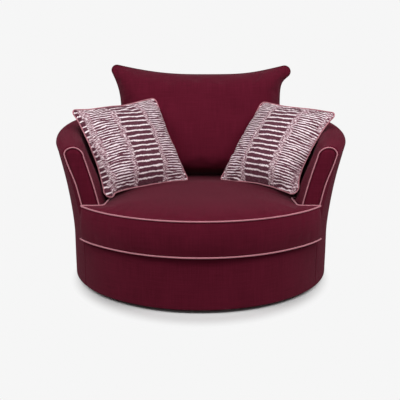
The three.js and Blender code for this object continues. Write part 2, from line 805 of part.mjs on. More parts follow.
// The piping round a pillow's seam
function pillowPiping(form, radius) {
  const turns = [(u, v) => [u, v], (u, v) => [-v, u], (u, v) => [-u, -v], (u, v) => [v, -u]];
  const loop = turns.flatMap((turn) => {
    const points = [];
    for (let i = 0; i < pillowSteps; i++) {
      points.push(pillowPoint(form, ...turn(pillowShare(i), -1), radius + gap));
    }
    return points;
  });
  return cordAlong(loop, radius, pipeSides, true, (a, b, c) => new THREE.Vector3(a, b, c));
}

// Stands a pillow up in its place
function stood(solid, { at, yaw, lean }) {
  const pose = new THREE.Matrix4().makeTranslation(...at);
  pose.multiply(new THREE.Matrix4().makeRotationZ(yaw));
  pose.multiply(new THREE.Matrix4().makeRotationX(Math.PI / 2 - lean));
  return solid.transform(pose.elements);
}

// A soft body takes the shape of what it is pressed against. Each neighbour comes with the direction
// that leads from it towards the soft body.
function pressed(soft, neighbours) {
  let shape = soft;
  for (const [neighbour, [x, y, z]] of neighbours) {
    shape = shape.subtract(neighbour).subtract(neighbour.translate([x * pressGap, y * pressGap, z * pressGap]));
  }
  return shape;
}

// Putting it together
const chair = new THREE.Group();

function addPiece(parent, name, shape, material) {
  const geometry = shape.isBufferGeometry ? shape : geometryOf(shape);
  const mesh = new THREE.Mesh(geometry, material);
  mesh.name = name;
  parent.add(mesh);
  return mesh;
}

const floorBase = new THREE.Group();
chair.add(floorBase);
addPiece(floorBase, "floor_board", floorBoard(), blackBoard);
for (let i = 0; i < glideCount; i++) {
  const turn = (2 * Math.PI * (i + 0.5)) / glideCount;
  const reach = boardRadius - glideInset;
  addPiece(floorBase, `glide_${i + 1}`, glide(), blackPlastic)
    .position.set(reach * Math.sin(turn), -reach * Math.cos(turn), 0);
}
const boltAt = plateSide / 2 - boltInset;
addPiece(floorBase, "lower_swivel_plate", swivelPlate(pivotRadius + gap, [-boltAt, boltAt], boltAt), zincSteel)
  .position.z = lowerPlateBottom;
addPiece(floorBase, "pivot_bolt", pivotBolt(), zincSteel);
addPiece(floorBase, "pivot_nut", pivotNut(), zincSteel);
addPiece(chair, "ball_cage", ballCage(), zincSteel);

const upperPlate = addPiece(
  chair,
  "upper_swivel_plate",
  swivelPlate(pivotRadius + runningGap, [-mountRailAt, mountRailAt], boltAt),
  zincSteel,
);
upperPlate.position.z = upperPlateTop;
upperPlate.rotation.x = Math.PI;

const drum = new THREE.Group();
chair.add(drum);
addPiece(drum, "mount_rail_left", mountRail(-1), plywood);
addPiece(drum, "mount_rail_right", mountRail(1), plywood);
addPiece(drum, "drum_bottom_ring", ring(bottomRingInner, ringOuter, bottomRingBottom, bottomRingTop), plywood);
addPiece(drum, "drum_top_ring", ring(topRingInner, ringOuter, topRingBottom, topRingTop), plywood);
const postHeight = topRingBottom - gap - mountRailBottom;
for (let i = 0; i < postCount; i++) {
  const turn = (2 * Math.PI * (i + 0.5)) / postCount;
  const reach = (topRingInner + ringOuter) / 2;
  const post = addPiece(
    drum,
    `drum_post_${i + 1}`,
    new THREE.BoxGeometry(postWidth, postDepth, postHeight),
    plywood,
  );
  post.position.set(reach * Math.sin(turn), -reach * Math.cos(turn), mountRailBottom + postHeight / 2);
  post.rotation.z = turn;
}
const skinOuter = drumRadius - boardDepth;
addPiece(drum, "drum_skin", ring(skinOuter - skinThickness, skinOuter, bottomRingBottom, topRingTop), hardboard);
for (let i = 0; i < springCount; i++) {
  const x = (i - (springCount - 1) / 2) * springSpacing;
  const length = 2 * Math.sqrt(clipReach ** 2 - (Math.abs(x) + clipWidth / 2) ** 2) - clipLength;
  addPiece(drum, `seat_spring_${i + 1}`, zigzagSpring(length), zincSteel).position.set(x, 0, springBottom);
}
addPiece(drum, "deck_pad", deckPad(), foam);
addPiece(drum, "front_cover", frontCover(), burgundy);

const tub = new THREE.Group();
chair.add(tub);
const foot = () => wallFoot;
const layerBetween = (near, far, bottomAt, topAt) =>
  behind(wallLayer(outsideSection(near, far, bottomAt, topAt)), frameStart);
const baseRail = layerBetween(frameOuterDepth, frameInnerDepth, foot, () => wallFoot + railHeight);
addPiece(tub, "tub_base_rail", baseRail, plywood);
const topRail = layerBetween(frameOuterDepth, frameInnerDepth, railBottom, rollHeight);
addPiece(tub, "tub_top_rail", topRail, plywood);
ribs().forEach((rib, i) => addPiece(tub, `tub_rib_${i + 1}`, rib, plywood));
for (const [name, side] of [["left", -1], ["right", 1]]) {
  addPiece(tub, `arm_board_${name}`, armBoard(side), plywood);
  addPiece(tub, `arm_facing_${name}`, armFacing(side), burgundy);
  addPiece(tub, `arm_piping_${name}`, facingPiping(side), rosePiping);
}
const outerBoard = layerBetween(boardDepth, boardDepth + boardThickness, foot, rollHeight);
addPiece(tub, "tub_outer_board", outerBoard, hardboard);
addPiece(tub, "tub_foam", tubFoam(), foam);
addPiece(tub, "inside_cover", insideCover(), burgundy);
addPiece(tub, "outside_cover", outsideCover(), burgundy);

const seat = seatCushion();
const pipes = [lowerSeamHeight, seamHeight].map(seatPiping);
addPiece(chair, "seat_cushion", seat, burgundy);
addPiece(chair, "seat_piping_lower", pipes[0], rosePiping);
addPiece(chair, "seat_piping_upper", pipes[1], rosePiping);

const up = [0, 0, 1];
const forward = [0, -1, 0];
const pressing = [[seat, up], [pipes[1], up], [behind(wallBody(-gap, deckHeight), -armFront), forward]];
const backCushion = pressed(stood(pillow(backCushionForm), backPlace), pressing);
addPiece(chair, "back_cushion", backCushion, burgundy);
pressing.push([backCushion, forward]);
for (const [name, place] of Object.entries(scatterPlaces)) {
  const form = { ...scatterForm, skew: place.skew };
  const cushion = pressed(stood(pillow(form), place), pressing);
  const cord = pressed(stood(pillowPiping(form, scatterPipe), place), pressing);
  addPiece(chair, `scatter_cushion_${name}`, cushion, stripedWeave);
  addPiece(chair, `scatter_piping_${name}`, cord, rosePiping);
}

export default chair;
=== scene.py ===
"""A round swivel cuddle chair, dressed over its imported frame.

A deep tub stands on a drum that turns over its base. Covers, facings, piping, the loose cushions and their
seams are made here. The boards, rings, springs and swivel bearing come from the frame and get their finishes.
Lengths are metres, +Z is up, the front faces -Y, and angles round the chair are measured from the front.
"""

import logging
import math
from collections.abc import Callable, Sequence
from dataclasses import dataclass, field, replace
from enum import Enum

import bmesh
import bpy
import numpy as np
from mathutils import Matrix, Vector, noise
from mathutils.bvhtree import BVHTree
from mathutils.geometry import delaunay_2d_cdt


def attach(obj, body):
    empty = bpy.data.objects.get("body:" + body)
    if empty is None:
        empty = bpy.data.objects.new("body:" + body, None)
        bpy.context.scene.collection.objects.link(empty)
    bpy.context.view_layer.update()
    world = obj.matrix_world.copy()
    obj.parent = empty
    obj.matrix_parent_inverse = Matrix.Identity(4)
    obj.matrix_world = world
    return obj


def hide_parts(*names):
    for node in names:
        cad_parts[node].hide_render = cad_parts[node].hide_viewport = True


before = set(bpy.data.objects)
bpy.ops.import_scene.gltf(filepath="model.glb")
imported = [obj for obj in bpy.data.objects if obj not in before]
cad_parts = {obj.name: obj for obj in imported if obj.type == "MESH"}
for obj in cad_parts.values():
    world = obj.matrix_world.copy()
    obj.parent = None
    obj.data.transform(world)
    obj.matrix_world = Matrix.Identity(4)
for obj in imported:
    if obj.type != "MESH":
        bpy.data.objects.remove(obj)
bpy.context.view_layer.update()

log = logging.getLogger("cuddle_chair")
logging.basicConfig(level=logging.INFO, format="%(name)s: %(message)s")

UV_NAME = "UVMap"
FULL_TURN = 2 * math.pi
UP = Vector((0, 0, 1))
FORWARD = Vector((0, -1, 0))

Colour = tuple[float, float, float, float]
Pair = tuple[float, float]


def screen_colour(red: float, green: float, blue: float) -> Colour:
    """Turns a colour's eight-bit screen values into linear light.

    Args:
        red, green, blue: screen values from 0 to 255.

    Returns:
        The linear colour, opaque.
    """
    linear = [
        v / 12.92 if v <= 0.04045 else ((v + 0.055) / 1.055) ** 2.4
        for v in (red / 255, green / 255, blue / 255)
    ]
    return (*linear, 1.0)


def blended(low: float, high: float, share: float) -> float:
    """Returns the value that lies at a share of the way from low to high."""
    return low + (high - low) * share


def clamped(value: float, low: float = 0.0, high: float = 1.0) -> float:
    """Returns value, kept between low and high."""
    return max(low, min(high, value))


def eased(value: float, low: float, high: float) -> float:
    """Returns 0 below low and 1 above high, with a smooth climb between."""
    share = clamped((value - low) / (high - low))
    return share * share * (3 - 2 * share)


# Shader and geometry trees


class ShaderSheet:
    """Lays out and wires the nodes of one material round a Principled shader."""

    def __init__(self, name: str) -> None:
        """Starts a material with its shader and output."""
        self.material = bpy.data.materials.new(name)
        self.material.use_nodes = True
        self.nodes = self.material.node_tree.nodes
        self.links = self.material.node_tree.links
        self.nodes.clear()
        self.shader = self.nodes.new("ShaderNodeBsdfPrincipled")
        output = self.nodes.new("ShaderNodeOutputMaterial")
        self.links.new(self.shader.outputs[0], output.inputs["Surface"])

    def feed(self, socket: bpy.types.NodeSocket, value: object) -> None:
        """Gives a socket its value, or a link where the value is another node's output."""
        if isinstance(value, bpy.types.NodeSocket):
            self.links.new(value, socket)
        else:
            socket.default_value = value

    def surface(self, **values: object) -> None:
        """Sets the shader's own sockets, whose names are written with underscores for spaces."""
        for name, value in values.items():
            self.feed(self.shader.inputs[name.replace("_", " ")], value)

    def place(self) -> bpy.types.NodeSocket:
        """Returns the object's own coordinates."""
        return self.nodes.new("ShaderNodeTexCoord").outputs["Object"]

    def unwrapped(self) -> bpy.types.NodeSocket:
        """Returns the piece's UV map, which is in metres."""
        node = self.nodes.new("ShaderNodeUVMap")
        node.uv_map = UV_NAME
        return node.outputs["UV"]

    def parts(self, vector: bpy.types.NodeSocket) -> list[bpy.types.NodeSocket]:
        """Returns a vector's three numbers."""
        node = self.nodes.new("ShaderNodeSeparateXYZ")
        self.links.new(vector, node.inputs[0])
        return list(node.outputs)

    def vector(self, x: object, y: object, z: object = 0.0) -> bpy.types.NodeSocket:
        """Returns a vector made of three numbers."""
        node = self.nodes.new("ShaderNodeCombineXYZ")
        for socket, value in zip(node.inputs, (x, y, z)):
            self.feed(socket, value)
        return node.outputs[0]

    def stretched(self, vector: bpy.types.NodeSocket, scale: Sequence[float]) -> bpy.types.NodeSocket:
        """Returns the vector with each of its numbers scaled."""
        node = self.nodes.new("ShaderNodeMapping")
        self.links.new(vector, node.inputs["Vector"])
        node.inputs["Scale"].default_value = scale
        return node.outputs[0]

    def math(self, operation: str, *values: object) -> bpy.types.NodeSocket:
        """Returns the result of one sum on numbers or sockets."""
        node = self.nodes.new("ShaderNodeMath")
        node.operation = operation
        for socket, value in zip(node.inputs, values):
            self.feed(socket, value)
        return node.outputs[0]

    def noise(self, vector: object, scale: float, detail: float = 2.0) -> bpy.types.NodeSocket:
        """Returns soft noise from 0 to 1."""
        node = self.nodes.new("ShaderNodeTexNoise")
        self.feed(node.inputs["Vector"], vector)
        node.inputs["Scale"].default_value = scale
        node.inputs["Detail"].default_value = detail
        return node.outputs["Fac"]

    def cells(self, vector: object, scale: float, distance: bool = True) -> bpy.types.NodeSocket:
        """Returns a cell pattern: the distance to a cell's middle, or the cell's own grey."""
        node = self.nodes.new("ShaderNodeTexVoronoi")
        self.feed(node.inputs["Vector"], vector)
        node.inputs["Scale"].default_value = scale
        return node.outputs["Distance" if distance else "Color"]

    def spread(self, value: object, low: float, high: float) -> bpy.types.NodeSocket:
        """Returns 0 where the value is at low or under, and 1 at high or over."""
        node = self.nodes.new("ShaderNodeMapRange")
        node.interpolation_type = "SMOOTHSTEP"
        self.feed(node.inputs["Value"], value)
        node.inputs["From Min"].default_value = low
        node.inputs["From Max"].default_value = high
        return node.outputs[0]

    def mixed(self, share: object, first: object, second: object) -> bpy.types.NodeSocket:
        """Returns the colour at a share of the way from the first to the second."""
        node = self.nodes.new("ShaderNodeMix")
        node.data_type = "RGBA"
        self.feed(node.inputs[0], share)
        self.feed(node.inputs[6], first)
        self.feed(node.inputs[7], second)
        return node.outputs[2]

    def ramp(self, share: object, stops: Sequence[tuple[float, Colour]]) -> bpy.types.NodeSocket:
        """Returns the colour that a ramp of stops has at a share."""
        node = self.nodes.new("ShaderNodeValToRGB")
        stop_list = node.color_ramp.elements
        while len(stop_list) < len(stops):
            stop_list.new(1.0)
        for element, (position, colour) in zip(stop_list, stops):
            element.position = position
            element.color = colour
        self.feed(node.inputs[0], share)
        return node.outputs[0]

    def bump(self, height: object, depth: float, strength: float = 1.0) -> None:
        """Raises the surface by a height from 0 to 1, whose full depth is in metres."""
        node = self.nodes.new("ShaderNodeBump")
        node.inputs["Strength"].default_value = strength
        node.inputs["Distance"].default_value = depth
        self.feed(node.inputs["Height"], height)
        self.links.new(node.outputs[0], self.shader.inputs["Normal"])


class GeometrySheet:
    """Lays out and wires one Geometry Nodes tree with named inputs."""

    def __init__(self, name: str, sizes: dict[str, float], counts: dict[str, int] | None = None) -> None:
        """Starts a tree that takes geometry, a material and the sizes that are named."""
        self.tree = bpy.data.node_groups.new(name, "GeometryNodeTree")
        face = self.tree.interface
        face.new_socket("Geometry", in_out="INPUT", socket_type="NodeSocketGeometry")
        face.new_socket("Geometry", in_out="OUTPUT", socket_type="NodeSocketGeometry")
        for title, value in sizes.items():
            face.new_socket(title, in_out="INPUT", socket_type="NodeSocketFloat").default_value = value
        for title, value in (counts or {}).items():
            face.new_socket(title, in_out="INPUT", socket_type="NodeSocketInt").default_value = value
        face.new_socket("Material", in_out="INPUT", socket_type="NodeSocketMaterial")
        self.given = self.tree.nodes.new("NodeGroupInput").outputs
        self.result = self.tree.nodes.new("NodeGroupOutput").inputs[0]

    def add(self, kind: str, settings: dict[str, object] | None = None, **inputs: object) -> bpy.types.Node:
        """Adds a node.

        Args:
            kind: the node's type.
            settings: its own properties.
            inputs: its inputs by name with underscores for spaces, each a value or another node's output.

        Returns:
            The node.
        """
        node = self.tree.nodes.new(kind)
        for name, value in (settings or {}).items():
            setattr(node, name, value)
        for name, value in inputs.items():
            socket = next(s for s in node.inputs if s.name == name.replace("_", " ") and s.enabled)
            if isinstance(value, bpy.types.NodeSocket):
                self.tree.links.new(value, socket)
            else:
                socket.default_value = value
        return node

    def close(self, geometry: bpy.types.NodeSocket) -> bpy.types.NodeTree:
        """Ends the tree in plain geometry that carries its material.

        Args:
            geometry: the output to end on.

        Returns:
            The finished tree.
        """
        real = self.add("GeometryNodeRealizeInstances", Geometry=geometry)
        dressed = self.add(
            "GeometryNodeSetMaterial", Geometry=real.outputs[0], Material=self.given["Material"]
        )
        self.tree.links.new(dressed.outputs[0], self.result)
        return self.tree


# Finishes


@dataclass(frozen=True)
class WovenCloth:
    """A plain woven upholstery cloth with slubs, whose pattern runs on the piece's UV map."""

    name: str = "burgundy_weave"
    light_thread: Colour = screen_colour(92, 23, 41)
    dark_thread: Colour = screen_colour(64, 11, 24)
    thread_pitch: float = 0.0019
    thread_height: float = 0.0005
    slub_length_scale: float = 9.0
    slub_width_scale: float = 260.0
    mottle_scale: float = 7.0

    def material(self) -> bpy.types.Material:
        """Returns the cloth's material."""
        sheet = ShaderSheet(self.name)
        uv = sheet.unwrapped()
        u, v, _ = sheet.parts(uv)
        turn = math.pi / self.thread_pitch
        warp = sheet.math("SINE", sheet.math("MULTIPLY", u, turn))
        weft = sheet.math("SINE", sheet.math("MULTIPLY", v, turn))
        crossing = sheet.math("MULTIPLY", warp, weft)
        over = sheet.spread(crossing, -0.3, 0.3)
        along = sheet.noise(sheet.stretched(uv, (self.slub_length_scale, self.slub_width_scale, 1)), 1.0)
        across = sheet.noise(sheet.stretched(uv, (self.slub_width_scale, self.slub_length_scale, 1)), 1.0)
        slubs = sheet.math("ADD", along, across)
        mottle = sheet.noise(sheet.place(), self.mottle_scale, 3.0)
        tone = sheet.math("MULTIPLY_ADD", over, 0.22, sheet.math("MULTIPLY_ADD", slubs, 0.75, -0.55))
        tone = sheet.math("ADD", tone, sheet.math("MULTIPLY_ADD", mottle, 0.5, 0.1))
        colour = sheet.mixed(tone, self.dark_thread, self.light_thread)
        height = sheet.math("MULTIPLY_ADD", slubs, 0.6, sheet.math("ABSOLUTE", crossing))
        sheet.surface(
            Base_Color=colour,
            Roughness=0.92,
            Specular_IOR_Level=0.02,
            Sheen_Weight=0.072,
            Sheen_Roughness=0.4,
            Sheen_Tint=(0.95, 0.7, 0.76, 1.0),
        )
        sheet.bump(height, self.thread_height, 0.6)
        return sheet.material


@dataclass(frozen=True)
class PipingCloth:
    """The cloth that is cut on the slant and sewn round a piping cord."""

    name: str = "rose_piping"
    light_thread: Colour = screen_colour(206, 140, 150)
    dark_thread: Colour = screen_colour(160, 98, 110)
    twill_pitch: float = 0.0024
    pucker_pitch: float = 0.011
    thread_height: float = 0.0004

    def material(self) -> bpy.types.Material:
        """Returns the piping's material."""
        sheet = ShaderSheet(self.name)
        u, v, _ = sheet.parts(sheet.unwrapped())
        slant = sheet.math("ADD", v, u)
        twill = sheet.math("SINE", sheet.math("MULTIPLY", slant, FULL_TURN / self.twill_pitch))
        pucker = sheet.noise(sheet.vector(sheet.math("DIVIDE", u, self.pucker_pitch), 0.0), 1.0)
        tone = sheet.math("MULTIPLY_ADD", twill, 0.22, sheet.math("MULTIPLY_ADD", pucker, 0.7, 0.12))
        sheet.surface(
            Base_Color=sheet.mixed(tone, self.dark_thread, self.light_thread),
            Roughness=0.85,
            Specular_IOR_Level=0.2,
            Sheen_Weight=0.2,
            Sheen_Roughness=0.4,
            Sheen_Tint=(0.95, 0.75, 0.8, 1.0),
        )
        sheet.bump(sheet.math("MULTIPLY_ADD", pucker, 1.2, twill), self.thread_height, 0.6)
        return sheet.material


@dataclass(frozen=True)
class BrokenStripe:
    """A chenille weave of broken stripes. A bold column runs up the middle, fine columns on each side of it."""

    name: str = "striped_weave"
    plum: Colour = screen_colour(82, 36, 51)
    pink: Colour = screen_colour(164, 120, 132)
    pale: Colour = screen_colour(252, 240, 244)
    column_pitch: float = 0.300
    bold_half: float = 0.0725
    ragged: float = 0.030
    bold_pitch: float = 0.0245
    fine_pitch: float = 0.0118
    pile_height: float = 0.0016
    shift: float = 0.0

    def material(self) -> bpy.types.Material:
        """Returns the weave's material, laid out on a UV map that has its zero at the cushion's middle."""
        sheet = ShaderSheet(f"{self.name}_{'right' if self.shift else 'left'}")
        uv = sheet.unwrapped()
        u, v, _ = sheet.parts(uv)
        row = self.wandering(sheet, sheet.math("ADD", v, self.shift), self.grain(sheet, uv, 12, 26), 0.016)
        row = self.wandering(sheet, row, self.grain(sheet, uv, 110, 60), 0.004)
        bar = sheet.math("ROUND", sheet.math("DIVIDE", row, self.bold_pitch))
        ends = sheet.noise(sheet.vector(sheet.math("MULTIPLY", u, 14.0), sheet.math("MULTIPLY", bar, 0.77)), 1.0, 1.0)
        side = self.wandering(sheet, u, ends, 0.045)
        side = self.wandering(sheet, side, self.grain(sheet, uv, 90, 420), 0.020)
        share = sheet.math("FRACT", sheet.math("ADD", sheet.math("DIVIDE", side, self.column_pitch), 0.5))
        away = sheet.math("MULTIPLY", sheet.math("ABSOLUTE", sheet.math("SUBTRACT", share, 0.5)), self.column_pitch)
        past_bold = sheet.spread(away, self.bold_half - 0.001, self.bold_half + 0.001)
        in_fine = sheet.spread(away, self.bold_half + self.ragged * 0.7, self.bold_half + self.ragged * 1.2)
        jagged = self.wandering(sheet, self.line(sheet, row, self.bold_pitch), self.grain(sheet, uv, 230, 130), 1.5)
        bold = sheet.math("MULTIPLY_ADD", sheet.spread(jagged, 0.40, 0.85), 0.82, 0.06)
        broken = self.wandering(sheet, self.line(sheet, row, self.fine_pitch), self.grain(sheet, uv, 17, 130), 4.0)
        broken = self.wandering(sheet, broken, self.grain(sheet, uv, 190, 260), 1.6)
        fine = sheet.math("MULTIPLY_ADD", sheet.spread(broken, -0.08, 0.72), 0.80, 0.06)
        mixed = self.wandering(sheet, 0.48, self.grain(sheet, uv, 95, 300), 2.6)
        tone = self.between(sheet, past_bold, bold, self.between(sheet, in_fine, mixed, fine))
        streaks = self.grain(sheet, uv, 70, 620)
        tufts = self.grain(sheet, uv, 560, 900)
        tone = self.wandering(sheet, self.wandering(sheet, tone, streaks, 0.9), tufts, 1.2)
        sheet.surface(
            Base_Color=sheet.ramp(tone, [(0.12, self.plum), (0.50, self.pink), (0.84, self.pale)]),
            Roughness=0.9,
            Specular_IOR_Level=0.12,
            Sheen_Weight=0.08,
            Sheen_Roughness=0.5,
            Sheen_Tint=(0.95, 0.85, 0.88, 1.0),
        )
        sheet.bump(sheet.math("MULTIPLY_ADD", tufts, 0.8, tone), self.pile_height, 0.6)
        return sheet.material

    def grain(self, sheet: ShaderSheet, uv: bpy.types.NodeSocket, across: float, up: float) -> bpy.types.NodeSocket:
        """Returns noise with its own scale across and up the cushion."""
        return sheet.noise(sheet.stretched(uv, (across, up, 1)), 1.0)

    def line(self, sheet: ShaderSheet, row: bpy.types.NodeSocket, pitch: float) -> bpy.types.NodeSocket:
        """Returns a wave that is -1 in the middle of each dark line, repeated at a pitch up the cushion."""
        wave = sheet.math("COSINE", sheet.math("MULTIPLY", row, FULL_TURN / pitch))
        return sheet.math("MULTIPLY", wave, -1.0)

    def between(
        self, sheet: ShaderSheet, share: bpy.types.NodeSocket, first: object, second: object
    ) -> bpy.types.NodeSocket:
        """Returns the value at a share of the way from the first to the second."""
        return sheet.math("MULTIPLY_ADD", share, sheet.math("SUBTRACT", second, first), first)

    def wandering(
        self, sheet: ShaderSheet, value: object, noise_value: bpy.types.NodeSocket, reach: float
    ) -> bpy.types.NodeSocket:
        """Returns a value that noise pushes to either side by half a reach at most."""
        return sheet.math("MULTIPLY_ADD", sheet.math("SUBTRACT", noise_value, 0.5), reach, value)


@dataclass(frozen=True)
class Plywood:
    """Birch plywood: pale faces with long grain and darker plies along the cut edges."""

    name: str = "plywood"
    pale: Colour = screen_colour(214, 184, 142)
    dark: Colour = screen_colour(172, 132, 88)
    ply: float = 0.0015

    def material(self) -> bpy.types.Material:
        """Returns the board's material."""
        sheet = ShaderSheet(self.name)
        place = sheet.place()
        grain = sheet.noise(sheet.stretched(place, (6, 90, 90)), 1.0, 5.0)
        _, _, height = sheet.parts(place)
        plies = sheet.math("SINE", sheet.math("MULTIPLY", height, math.pi / self.ply))
        tone = sheet.math("MULTIPLY_ADD", plies, 0.18, sheet.math("MULTIPLY_ADD", grain, 1.3, -0.2))
        sheet.surface(
            Base_Color=sheet.mixed(tone, self.pale, self.dark),
            Roughness=sheet.math("MULTIPLY_ADD", grain, 0.25, 0.5),
            Specular_IOR_Level=0.35,
        )
        sheet.bump(grain, 0.0003, 0.5)
        return sheet.material


@dataclass(frozen=True)
class Hardboard:
    """Pressed brown fibreboard with a smooth face and loose fibres in it."""

    name: str = "hardboard"
    pale: Colour = screen_colour(140, 102, 68)
    dark: Colour = screen_colour(96, 64, 40)

    def material(self) -> bpy.types.Material:
        """Returns the board's material."""
        sheet = ShaderSheet(self.name)
        place = sheet.place()
        fibres = sheet.noise(sheet.stretched(place, (260, 260, 60)), 1.0, 4.0)
        clouds = sheet.noise(place, 9.0, 3.0)
        tone = sheet.math("MULTIPLY_ADD", clouds, 0.5, sheet.math("MULTIPLY_ADD", fibres, 0.9, -0.2))
        sheet.surface(
            Base_Color=sheet.mixed(tone, self.dark, self.pale), Roughness=0.62, Specular_IOR_Level=0.3
        )
        sheet.bump(fibres, 0.0002, 0.5)
        return sheet.material


@dataclass(frozen=True)
class CellFoam:
    """Cut upholstery foam with open cells."""

    name: str = "foam"
    pale: Colour = screen_colour(240, 232, 206)
    dark: Colour = screen_colour(206, 190, 148)
    cell_scale: float = 420.0

    def material(self) -> bpy.types.Material:
        """Returns the foam's material."""
        sheet = ShaderSheet(self.name)
        place = sheet.place()
        cells = sheet.cells(place, self.cell_scale)
        clouds = sheet.noise(place, 12.0, 2.0)
        tone = sheet.math("MULTIPLY_ADD", cells, 0.7, sheet.math("MULTIPLY_ADD", clouds, 0.4, -0.1))
        sheet.surface(
            Base_Color=sheet.mixed(tone, self.dark, self.pale), Roughness=0.95, Specular_IOR_Level=0.1
        )
        sheet.bump(cells, 0.0010, 0.7)
        return sheet.material


@dataclass(frozen=True)
class DarkCoat:
    """A dark board or moulding: a fine texture with scuffs that catch the light."""

    name: str
    dark: Colour
    scuffed: Colour
    texture_scale: float
    texture_depth: float
    roughness: float

    def material(self) -> bpy.types.Material:
        """Returns the coat's material."""
        sheet = ShaderSheet(self.name)
        place = sheet.place()
        texture = sheet.noise(place, self.texture_scale, 4.0)
        scuffs = sheet.spread(sheet.noise(place, 14.0, 5.0), 0.52, 0.72)
        sheet.surface(
            Base_Color=sheet.mixed(scuffs, self.dark, self.scuffed),
            Roughness=sheet.math("MULTIPLY_ADD", texture, 0.2, self.roughness),
            Specular_IOR_Level=0.4,
        )
        sheet.bump(texture, self.texture_depth, 0.6)
        return sheet.material


@dataclass(frozen=True)
class ZincPlate:
    """Bright zinc plating, with faint patches and brushed marks."""

    name: str = "zinc_steel"
    pale: Colour = screen_colour(206, 209, 213)
    dark: Colour = screen_colour(150, 154, 160)

    def material(self) -> bpy.types.Material:
        """Returns the plating's material."""
        sheet = ShaderSheet(self.name)
        place = sheet.place()
        patches = sheet.cells(place, 90.0)
        brushed = sheet.noise(sheet.stretched(place, (30, 500, 30)), 1.0, 2.0)
        tone = sheet.math("MULTIPLY_ADD", patches, 0.6, sheet.math("MULTIPLY", brushed, 0.4))
        sheet.surface(
            Base_Color=sheet.mixed(tone, self.dark, self.pale),
            Metallic=1.0,
            Roughness=sheet.math("MULTIPLY_ADD", brushed, 0.25, 0.25),
        )
        sheet.bump(brushed, 0.0001, 0.4)
        return sheet.material


class Finish(Enum):
    """The finishes that the chair is made in. Each value is the finish's name, with its side after a colon."""

    BURGUNDY = "burgundy_weave"
    ROSE = "rose_piping"
    STRIPE_LEFT = "striped_weave:left"
    STRIPE_RIGHT = "striped_weave:right"
    PLYWOOD = "plywood"
    HARDBOARD = "hardboard"
    FOAM = "foam"
    BLACK_BOARD = "black_board"
    BLACK_PLASTIC = "black_plastic"
    ZINC = "zinc_steel"

    @property
    def slot(self) -> str:
        """The finish's name without its side."""
        return self.value.split(":")[0]


class FinishShelf:
    """Makes each finish once and hands it out."""

    def __init__(self) -> None:
        """Names what each finish is made of."""
        self.made: dict[Finish, bpy.types.Material] = {}
        self.recipes = {
            Finish.BURGUNDY: WovenCloth(),
            Finish.ROSE: PipingCloth(),
            Finish.STRIPE_LEFT: BrokenStripe(),
            Finish.STRIPE_RIGHT: BrokenStripe(shift=0.61),
            Finish.PLYWOOD: Plywood(),
            Finish.HARDBOARD: Hardboard(),
            Finish.FOAM: CellFoam(),
            Finish.BLACK_BOARD: DarkCoat(
                "black_board", screen_colour(30, 29, 29), screen_colour(58, 56, 54), 160.0, 0.0003, 0.6
            ),
            Finish.BLACK_PLASTIC: DarkCoat(
                "black_plastic", screen_colour(24, 24, 24), screen_colour(44, 44, 44), 900.0, 0.0002, 0.45
            ),
            Finish.ZINC: ZincPlate(),
        }

    def material(self, finish: Finish) -> bpy.types.Material:
        """Returns a finish's material."""
        if finish not in self.made:
            self.made[finish] = self.recipes[finish].material()
        return self.made[finish]


# Meshes


@dataclass
class Skin:
    """A mesh in the making: its points, its faces and a flat place for each corner of each face."""

    points: list[Vector] = field(default_factory=list)
    faces: list[tuple[int, ...]] = field(default_factory=list)
    flats: list[tuple[Pair, ...]] = field(default_factory=list)

    def face(self, corners: tuple[int, ...], flats: tuple[Pair, ...]) -> None:
        """Adds one face."""
        self.faces.append(corners)
        self.flats.append(flats)

    def piece(self, name: str, merge: float = 1e-5) -> bpy.types.Object:
        """Makes the mesh an object.

        Args:
            name: the object's name.
            merge: points closer than this become one.

        Returns:
            The object, smooth, closed and with its faces pointing outwards.
        """
        mesh = bpy.data.meshes.new(name)
        mesh.from_pydata(self.points, [], self.faces)
        layer = mesh.uv_layers.new(name=UV_NAME)
        layer.data.foreach_set("uv", np.array([c for f in self.flats for p in f for c in p], "f"))
        shape = bmesh.new()
        shape.from_mesh(mesh)
        bmesh.ops.remove_doubles(shape, verts=shape.verts, dist=merge)
        bmesh.ops.dissolve_degenerate(shape, edges=shape.edges, dist=merge)
        rims = [e for e in shape.edges if len(e.link_faces) == 1]
        if rims:
            bmesh.ops.holes_fill(shape, edges=rims, sides=0)
        bmesh.ops.recalc_face_normals(shape, faces=shape.faces)
        if shape.calc_volume(signed=True) < 0:
            bmesh.ops.reverse_faces(shape, faces=shape.faces)
        shape.to_mesh(mesh)
        shape.free()
        mesh.shade_smooth()
        thing = bpy.data.objects.new(name, mesh)
        bpy.context.scene.collection.objects.link(thing)
        return thing


def baked(thing: bpy.types.Object) -> bpy.types.Object:
    """Turns an object's modifiers into plain mesh.

    Args:
        thing: the object with its modifiers.

    Returns:
        The same object without them.
    """
    graph = bpy.context.evaluated_depsgraph_get()
    made = bpy.data.meshes.new_from_object(
        thing.evaluated_get(graph), preserve_all_data_layers=True, depsgraph=graph
    )
    thing.modifiers.clear()
    old = thing.data
    thing.data = made
    made.name = thing.name
    bpy.data.meshes.remove(old)
    return thing


def grown_by(thing: bpy.types.Object, tree: bpy.types.NodeTree, values: dict[str, object]) -> bpy.types.Object:
    """Runs a Geometry Nodes tree on an object and bakes it.

    Args:
        thing: the object that carries the path or surface.
        tree: the tree.
        values: the tree's inputs by name.

    Returns:
        The object with the tree's result as plain mesh.
    """
    modifier = thing.modifiers.new(tree.name, "NODES")
    modifier.node_group = tree
    for item in tree.interface.items_tree:
        if item.item_type == "SOCKET" and item.in_out == "INPUT" and item.name in values:
            modifier[item.identifier] = values[item.name]
    return baked(thing)


